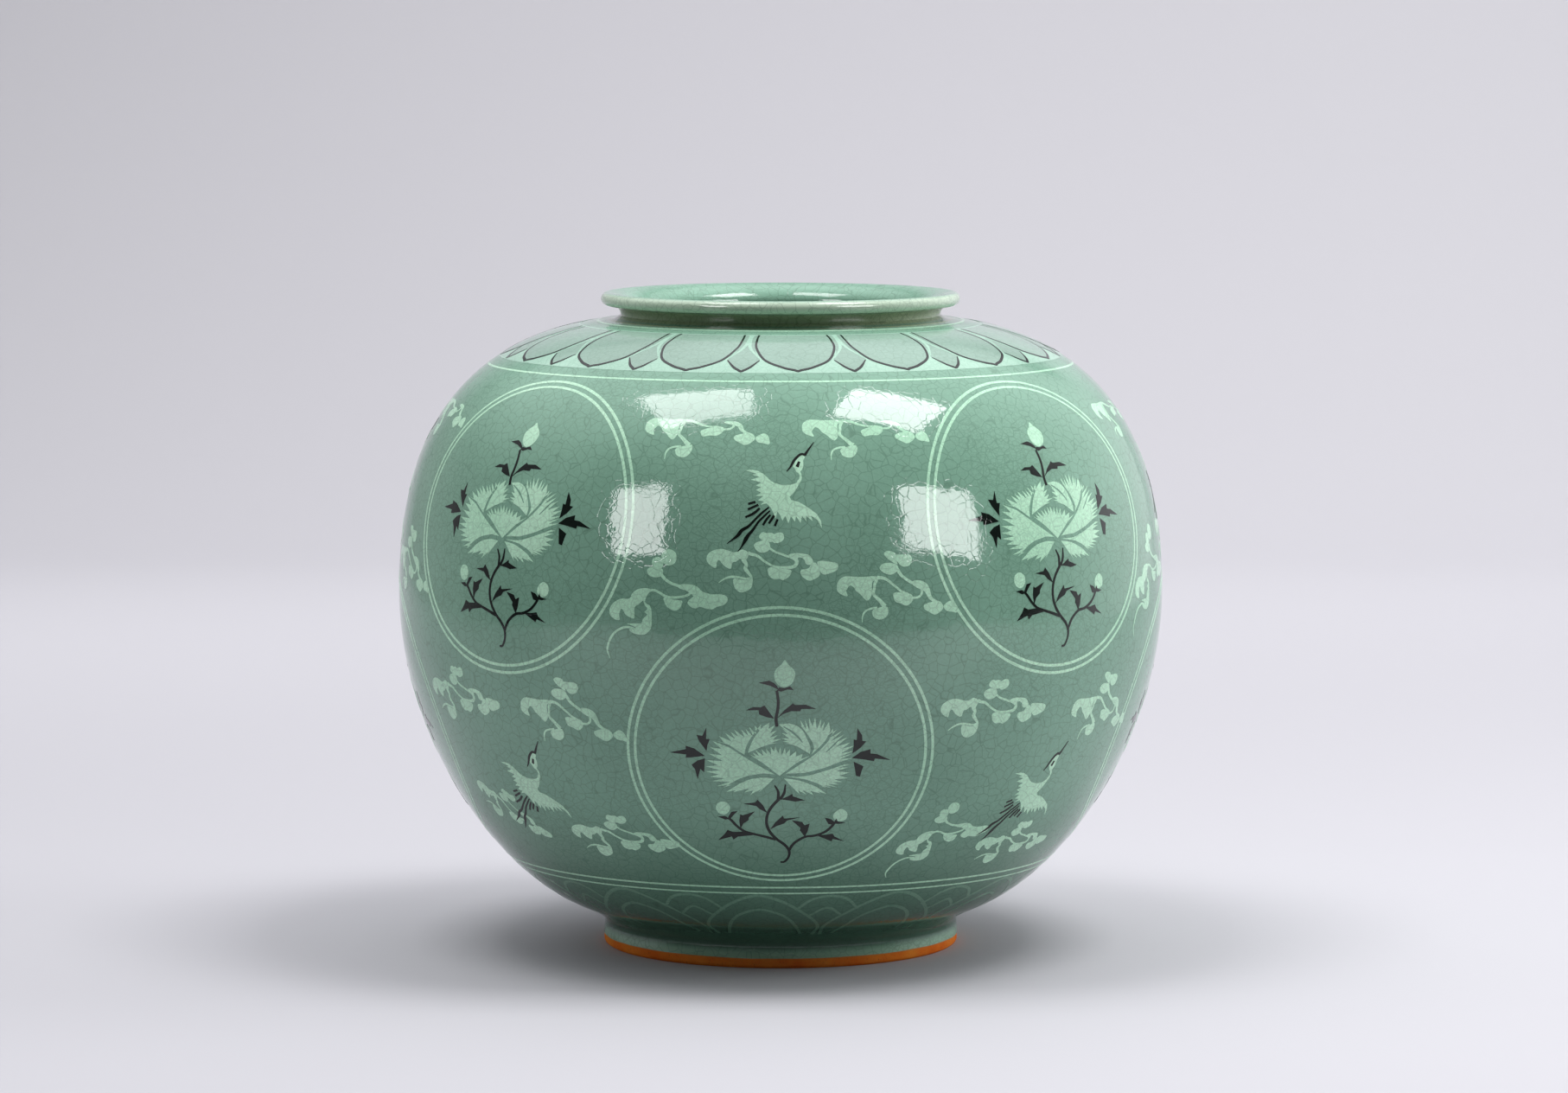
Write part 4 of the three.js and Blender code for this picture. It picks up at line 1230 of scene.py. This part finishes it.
# %% Cloud with a long hanging tail
long_tailed = [
    shape([(-22.3, -6.8), (-21.8, -4.5), (-20.2, -2.7), (-17.3, -1.4), (-14.2, -1.3), (-13, 0.8),
           (-10.9, 2.3), (-8.5, 2.8), (-6.4, 2.7), (-5.7, 2.2), (-7.1, 1.3), (-7.9, -0), (-8.8, -1.7),
           (-10.5, -3.4), (-12.1, -4.6), (-12.1, -8.4), (-13.7, -8.3), (-15.8, -7.2), (-16.7, -5.6),
           (-17.6, -5.3), (-18.3, -7.3), (-18.1, -9.3), (-19.8, -9.3), (-21.4, -8.4)]),
    stroke([(-8.4, -2), (-8.1, -0.7), (-6.7, 1.5), (-4.8, 2.2), (-2.6, 1.5), (-0.1, 0.1), (2.6, -0.3),
            (5.6, -0.1), (8.3, 0.6), (10.1, 1.8)], [1.0, 0.9, 1.0, 0.9]),
    shape([(-8.8, -1.4), (-7.4, -2.9), (-5.8, -3.9), (-5.3, -6.5), (-5.4, -11.4), (-6.4, -13.2),
           (-8.4, -14.5), (-11.5, -14.4), (-13.7, -13.5), (-14.2, -12.6), (-11.5, -12.1), (-13.3, -11.2),
           (-15.1, -10.6), (-11.9, -10.4), (-9.3, -10.2), (-8.7, -8.6), (-7, -6.9), (-8.2, -6.1),
           (-7, -4.9), (-8, -3.6)]),
    stroke([(-12.2, -12.3), (-15.4, -11.9), (-18.7, -13.1), (-21.2, -15.3), (-22.8, -18.4), (-23.3, -21.1),
            (-22.2, -24)], [0.8, 0.9, 0.9, 0.9, 0.2]),
    shape([(-0.6, -0.4), (2.6, -1), (6.3, -1.4), (6.4, -2.5), (5.7, -4.2), (3.7, -5.2), (1.3, -4.3),
           (-0.1, -2.7)]),
    stroke([(-1.7, 8), (-0.3, 6.4), (2.2, 4.9), (5.2, 4)], [1.2, 1.0, 1.1]),
    shape([(4.9, 3.6), (5.6, 4.6), (9.6, 4.7), (12.3, 3.8), (14, 2.2), (17.3, 1.3), (21.3, 1.2),
           (23.3, 0.4), (23.6, -1.2), (22.3, -2.7), (19.7, -3.4), (17.7, -4.4), (15.4, -4.1), (13.1, -3.5),
           (11.7, -4.2), (9.7, -3.6), (8.5, -2.1), (9.4, -0.8), (10.7, 0.2), (10.3, 0.8), (8, 2.3),
           (5.6, 3)]),
    shape([(-7.4, 9), (-7, 10.1), (-5.2, 10.9), (-2.8, 10.9), (-1.2, 9.7), (-1.3, 8), (-3, 7), (-5.1, 7),
           (-6.7, 7.7)]),
    shape([(-5.6, 12.5), (-5.2, 13.8), (-3.7, 14.5), (-1.6, 13.9), (-1.1, 12), (-1.8, 10.3), (-4.2, 10.4),
           (-5.4, 11.2)]),
    shape([(-1.9, 14.5), (-1.3, 16.5), (0.7, 17.6), (3.1, 16.6), (3.9, 14.7), (3.3, 12.4), (0.9, 11.4),
           (-1, 12.3)]),
]

# %% Cloud with a hooked tail
hook_tailed = [
    shape([(-21.9, 3.5), (-21.3, 6.1), (-19.2, 7.7), (-16.9, 7.8), (-12.1, 7.5), (-8.7, 7.7), (-5.7, 7.4),
           (-5.7, 6.5), (-8, 6), (-8.6, 4.4), (-8.7, 1.4), (-9.3, -0.2), (-10.5, -1.3), (-11.9, -0.3),
           (-13, 1), (-14.7, 2.3), (-15.6, 3.8), (-16.8, 4.5), (-17.6, 3.8), (-18.4, 2.4), (-17.9, 0.5),
           (-20.1, 1.1), (-21.5, 2.2)]),
    stroke([(-6.5, 7.2), (-3.4, 6.6), (-0.4, 4.3), (2.6, 1.9), (5.3, 0.7)], [1.3, 0.9, 0.8]),
    stroke([(6.7, -0.7), (9.2, -0.6), (10.6, 0.7), (10.6, 2.2)], [0.8, 0.9, 1.0]),
    shape([(-0.5, 1.2), (1.5, 1.5), (4.2, 0.9), (6.1, 0.8), (7.2, -0.5), (6.6, -2.3), (4.5, -3.6),
           (2.5, -2.7), (0.2, -1.9), (-0.5, -0.2)]),
    stroke([(-6.7, 6.5), (-7.6, 4.7), (-7.7, 3.3), (-8.1, 1.1), (-5.9, -1.2),
            (-3.8, -3.6)], [1.2, 1.0, 1.3, 1.8]),
    shape([(-8.4, -4.8), (-3.6, -3.5), (-2.5, -5), (-3.1, -7.2), (-5.2, -8.4), (-7.8, -7.8), (-8.6, -6.3)]),
    stroke([(-6.7, -4.1), (-8.9, -4.2), (-11.2, -5.1), (-12.3, -6.9), (-12.5, -9.3)], [1.0, 0.7, 0.7, 0.2]),
    stroke([(1.3, 10), (3.1, 7.4), (7, 4.7)], [1.4, 1.1, 1.1]),
    shape([(6.8, 4.5), (7.6, 5.6), (10.1, 5.6), (12.5, 4.5), (13.8, 2.6), (14.6, -0.4), (16, -1.7),
           (18.4, -2.8), (19.3, -4.6), (18.3, -6.1), (15.9, -7.3), (13.5, -6.2), (11.7, -5.1), (11.5, -3.6),
           (13.5, -2.7), (14.9, -2.4), (13.2, -1.1), (12, 1.2), (10.8, 2), (8.5, 3.1)]),
    shape([(19.6, -3.9), (22, -2.4), (23.7, -3), (24.7, -4.9), (24.9, -6.9), (22.8, -6.5), (20.8, -6.2),
           (19.6, -5)]),
    shape([(-5.6, 10.7), (-4, 12.3), (-0.9, 12.4), (1.3, 11.5), (1.5, 9.6), (-1.1, 8.1), (-4.1, 8.9)]),
    shape([(-3.7, 16), (-2.3, 16.9), (0.4, 16.3), (0.7, 14.4), (1.4, 11.8), (-0.9, 13), (-2.8, 14.5)]),
    shape([(0.3, 15.2), (3, 15.4), (6.1, 15.2), (7.2, 13.5), (6, 11.3), (3.2, 11), (1.4, 12.9)]),
]

# %% Cloud by the shoulder
# the hooked cloud again, with its right half lifted and flattened, and without the crest of puffs
LIFT = 4.2
LIFTED_FROM, LIFTED_TO = -4.0, 4.0
FLATTENED = 0.5
STRETCHED = 1.5


def lifted(outline):
    """A part of the hooked cloud as the cloud by the shoulder has it."""
    outline = np.array(outline)
    share = np.clip((outline[:, 0] - LIFTED_FROM) / (LIFTED_TO - LIFTED_FROM), 0, 1)
    outline[:, 1] += share * (LIFT - FLATTENED * np.maximum(outline[:, 1], 0))
    outline[:, 0] += STRETCHED * share
    return outline


shoulder_cloud = [lifted(part) for part in hook_tailed[:7] + hook_tailed[8:10]]

# %% Clouds at their places
# each place is an arc in mm, a turn and a tilt in degrees and a size
flat_places = [(187.3, -0.4 + q, 0, 1) for q in QUARTERS] + [(129.6, 34.4 + q, 0, 1) for q in QUARTERS]
flat_places += [(67.0, 49.2 + h, 0, 0.9) for h in HALVES]
flat_places += [(80.0, -53.0 + h, -26, 0.85) for h in HALVES] + [(74.0, -27.8 + h, 0, 0.95) for h in HALVES]
long_places = [(173.6, -16.5 + q, 0, 1) for q in QUARTERS] + [(75.0, 29.8 + h, 4, 0.85) for h in HALVES]
hook_places = [(173.6, 16.4 + q, 0, 1) for q in QUARTERS]
hook_places += [(124.0, -33.5 + h, 0, 1) for h in HALVES] + [(121.0, 58.2 + h, 0, 1) for h in HALVES]
shoulder_places = [(234.6, turn + q, 0, 1) for turn in (-13.0, 13.1) for q in QUARTERS]
lay("flat_tailed_clouds", slab(flat_tailed), flat_places, white_slip)
lay("long_tailed_clouds", slab(long_tailed), long_places, white_slip)
lay("hook_tailed_clouds", slab(hook_tailed), hook_places, white_slip)
lay("shoulder_clouds", slab(shoulder_cloud), shoulder_places, white_slip)

# %% [markdown]
# Floor and backdrop
#
# The jar stands on a pale seamless sweep. A floor and a wall would show a line where they meet, and
# the sweep bends from one into the other. It reaches far enough behind the jar to fill the picture, and
# ends about a metre in front of it, as the studio table does: the jar's lower half mirrors the table,
# and its upper half the darker room. The camera sees the paper from its front only, so that a view
# from behind the backdrop shows the jar too.

# %% Sweep
SWEEP_FRONT = -940.0
SWEEP_BACK = 1500.0
SWEEP_HEIGHT = 1500.0
SWEEP_WIDTH = 1100.0
BEND = 500.0
quarter_turn = np.linspace(0, math.pi / 2, 13)[1:]
sweep_line = [(SWEEP_FRONT, 0.0), (0.0, 0.0), (SWEEP_BACK, 0.0)]
sweep_line += [(SWEEP_BACK + BEND * math.sin(a), BEND * (1 - math.cos(a))) for a in quarter_turn]
sweep_line.append((SWEEP_BACK + BEND, SWEEP_HEIGHT))
sweep_mesh = bpy.data.meshes.new("sweep")
sweep_mesh.from_pydata(
    [(side * SWEEP_WIDTH * MM, y * MM, z * MM) for y, z in sweep_line for side in (-1, 1)],
    [],
    [(2 * i, 2 * i + 1, 2 * i + 3, 2 * i + 2) for i in range(len(sweep_line) - 1)],
)
sweep_mesh.shade_smooth()
sweep = bpy.data.objects.new("sweep", sweep_mesh)
bpy.context.collection.objects.link(sweep)
print("sweep faces", len(sweep_mesh.polygons))

# %% [markdown]
# The paper's front end, below the picture, would stand in the glow of the low softboxes, but they are
# seen only in the mirror. So that glow is painted: to mirrored rays the paper there has a paler colour,
# and the glaze mirrors it brighter than the paper round the jar. Light Path tells the mirrored rays
# from the camera's own, and Backfacing tells which side of the paper a ray meets.

# %% Paper
PAINTED_GLOW_FROM, PAINTED_GLOW_TO = -220.0, -400.0
paper, table, place = new_finish("pale paper")
along_table = add_node(table, "ShaderNodeSeparateXYZ", {0: place}).outputs[1]
ray = add_node(table, "ShaderNodeLightPath").outputs
# painted glow: to mirrored rays the paper turns paler in front of the jar
glow = {"Value": along_table, "From Min": PAINTED_GLOW_FROM * MM, "From Max": PAINTED_GLOW_TO * MM}
glow = add_node(table, "ShaderNodeMapRange", glow)
glow = add_node(table, "ShaderNodeMath", {0: glow, 1: ray["Is Glossy Ray"]}, operation="MULTIPLY")
paper_and_painted_glow = add_node(table, "ShaderNodeMix", {0: glow, 6: linear("B2B1B6"), 7: linear("E0E0E3")}, data_type="RGBA")
sheet = add_node(table, "ShaderNodeBsdfPrincipled", {"Base Color": paper_and_painted_glow, "Roughness": 0.8})
from_behind = add_node(table, "ShaderNodeNewGeometry").outputs["Backfacing"]
from_behind = {0: from_behind, 1: ray["Is Camera Ray"]}
from_behind = add_node(table, "ShaderNodeMath", from_behind, operation="MULTIPLY")
clear = add_node(table, "ShaderNodeBsdfTransparent")
one_sided = add_node(table, "ShaderNodeMixShader", {0: from_behind, 1: sheet, 2: clear})
add_node(table, "ShaderNodeOutputMaterial", {0: one_sided})
sweep_mesh.materials.append(paper)
print("paper:", paper.name)

# %% [markdown]
# Light
#
# Four softboxes stand about the camera, and each leaves one bright patch on the glaze. Lamps placed by
# eye would light the jar as well, but their patches would lie elsewhere. Where a lamp must stand
# follows from its patch: the camera's ray to the patch bounces off the round wall and runs on to the
# lamp. The places, tilts and sizes below were found that way, 1.5 m along the bounced rays.

# %% Softboxes
def add_lamp(name, place, matrix, size, radiance, **seen):
    """A rectangular lamp that the camera does not see. seen says which other rays meet it."""
    data = bpy.data.lights.new(name, "AREA")
    data.shape = "RECTANGLE"
    data.size, data.size_y = size
    data.energy = radiance * math.pi * size[0] * size[1]
    lamp = bpy.data.objects.new(name, data)
    lamp.matrix_world = Matrix.Translation(place) @ matrix.to_4x4()
    lamp.visible_camera = False
    for rays, met in seen.items():
        setattr(lamp, rays, met)
    bpy.context.collection.objects.link(lamp)


SOFTBOXES = {  # place, the way its back faces, the way of its width, width and height, radiance
    "high left softbox": ((-0.41, -0.19, 1.69), (-0.77, 0.02, 0.64), (0.64, -0.04, 0.77), (0.73, 0.61), 10.6),
    "high right softbox": ((0.63, -0.17, 1.62), (0.06, -0.27, 0.96), (0.99, -0.11, -0.1), (0.62, 0.6), 14.8),
    "low left softbox": ((-1.07, -1.12, 0.72), (-0.31, -0.87, 0.38), (0.94, -0.33, 0.01), (0.50, 0.61), 11.9),
    "low right softbox": ((1.21, -1.02, 0.73), (0.46, -0.89, -0.08), (0.87, 0.46, -0.16), (0.73, 0.68), 13.2),
}
for name, (place, back, across, size, radiance) in SOFTBOXES.items():
    z_axis = Vector(back).normalized()
    x_axis = (Vector(across) - z_axis * z_axis.dot(Vector(across))).normalized()
    matrix = Matrix((x_axis, z_axis.cross(x_axis), z_axis)).transposed()
    # the low pair is only mirrored: the front of the jar gets its light from the table
    add_lamp(name, place, matrix, size, radiance, visible_diffuse=name.startswith("high"))
print("softboxes:", len(SOFTBOXES))

# %% [markdown]
# Three more lamps light paper and clay but leave no patch on the glaze: a wash on the backdrop, and
# one on each side. The jar's right side and the paper beside it get more light than the left.

# %% Wash and fills
UNSEEN_LAMPS = {  # place, target, width and height, radiance
    "backdrop wash": ((0.2, 1.25, 0.95), (0.0, 1.95, 0.2), (2.6, 0.5), 3.2),
    "right fill": ((1.8, 0.15, 0.7), (0.0, 0.0, 0.12), (0.8, 0.8), 6.5),
    "left fill": ((-1.8, 0.15, 0.7), (0.0, 0.0, 0.12), (0.8, 0.8), 2.0),
}
for name, (place, target, size, radiance) in UNSEEN_LAMPS.items():
    aim = (Vector(place) - Vector(target)).to_track_quat("Z", "Y").to_matrix()
    add_lamp(name, place, aim, size, radiance, visible_glossy=False)
print("unseen lamps:", len(UNSEEN_LAMPS))

# %% [markdown]
# The room itself lights the jar too. Its ceiling is white, brightest towards the back, its side walls
# glow behind the jar's flanks, the right one more, and the camera's side is dark. That dark side is
# what makes the middle of the jar deep green between the softboxes' patches. White walls and a ceiling
# could be built, but a few soft ramps in the world do the same and cast no shadow.

# %% Room
DARK_SIDE = 0.03
CEILING = 0.45
CEILING_BACK = 1.0
WALLS = [  # the way to a side wall, where its glow starts, its strength
    ((0.8, 0.6, 0.0), 0.6, 1.3),
    ((-0.8, 0.6, 0.0), 0.65, 0.38),
]
WALL_FULL = 1.05  # past one, so that no wall glows in full
PLAIN_BACKGROUND = 0.6  # what the camera sees past the sweep, from the other sides
MIRRORED = 1.1  # how much brighter the room is to the mirror than to the clay

world = bpy.data.worlds.new("studio room")
bpy.context.scene.world = world
world.use_nodes = True
room = world.node_tree
room.nodes.clear()
way = add_node(room, "ShaderNodeTexCoord").outputs["Generated"]
_, backward, upward = add_node(room, "ShaderNodeSeparateXYZ", {0: way}).outputs
eased = {"interpolation_type": "SMOOTHSTEP"}
behind = {"Value": backward, "From Min": -0.6, "From Max": 0.35}
behind = add_node(room, "ShaderNodeMapRange", behind, **eased)
overhead = {"Value": upward, "From Min": 0.3, "From Max": 0.9}
overhead = add_node(room, "ShaderNodeMapRange", overhead, **eased)
ceiling = add_node(room, "ShaderNodeMath", {0: behind, 1: CEILING_BACK, 2: CEILING}, operation="MULTIPLY_ADD")
glow = add_node(room, "ShaderNodeMath", {0: overhead, 1: ceiling, 2: DARK_SIDE}, operation="MULTIPLY_ADD")
for side, start, strength in WALLS:
    wall_glow = add_node(room, "ShaderNodeVectorMath", {0: way, 1: side}, operation="DOT_PRODUCT")
    wall_glow = {"Value": wall_glow, "From Min": start, "From Max": WALL_FULL}
    wall_glow = add_node(room, "ShaderNodeMapRange", wall_glow, **eased)
    glow = add_node(room, "ShaderNodeMath", {0: wall_glow, 1: strength, 2: glow}, operation="MULTIPLY_ADD")
ray = add_node(room, "ShaderNodeLightPath").outputs
gain = {0: ray["Is Glossy Ray"], 1: MIRRORED - 1, 2: 1.0}
gain = add_node(room, "ShaderNodeMath", gain, operation="MULTIPLY_ADD")
glow = add_node(room, "ShaderNodeMath", {0: glow, 1: gain}, operation="MULTIPLY")
glow = add_node(room, "ShaderNodeMix", {0: ray["Is Camera Ray"], 2: glow, 3: PLAIN_BACKGROUND})
background = add_node(room, "ShaderNodeBackground", {"Color": linear("FAFAFF"), "Strength": glow})
add_node(room, "ShaderNodeOutputWorld", {0: background})
print("room nodes:", len(room.nodes))
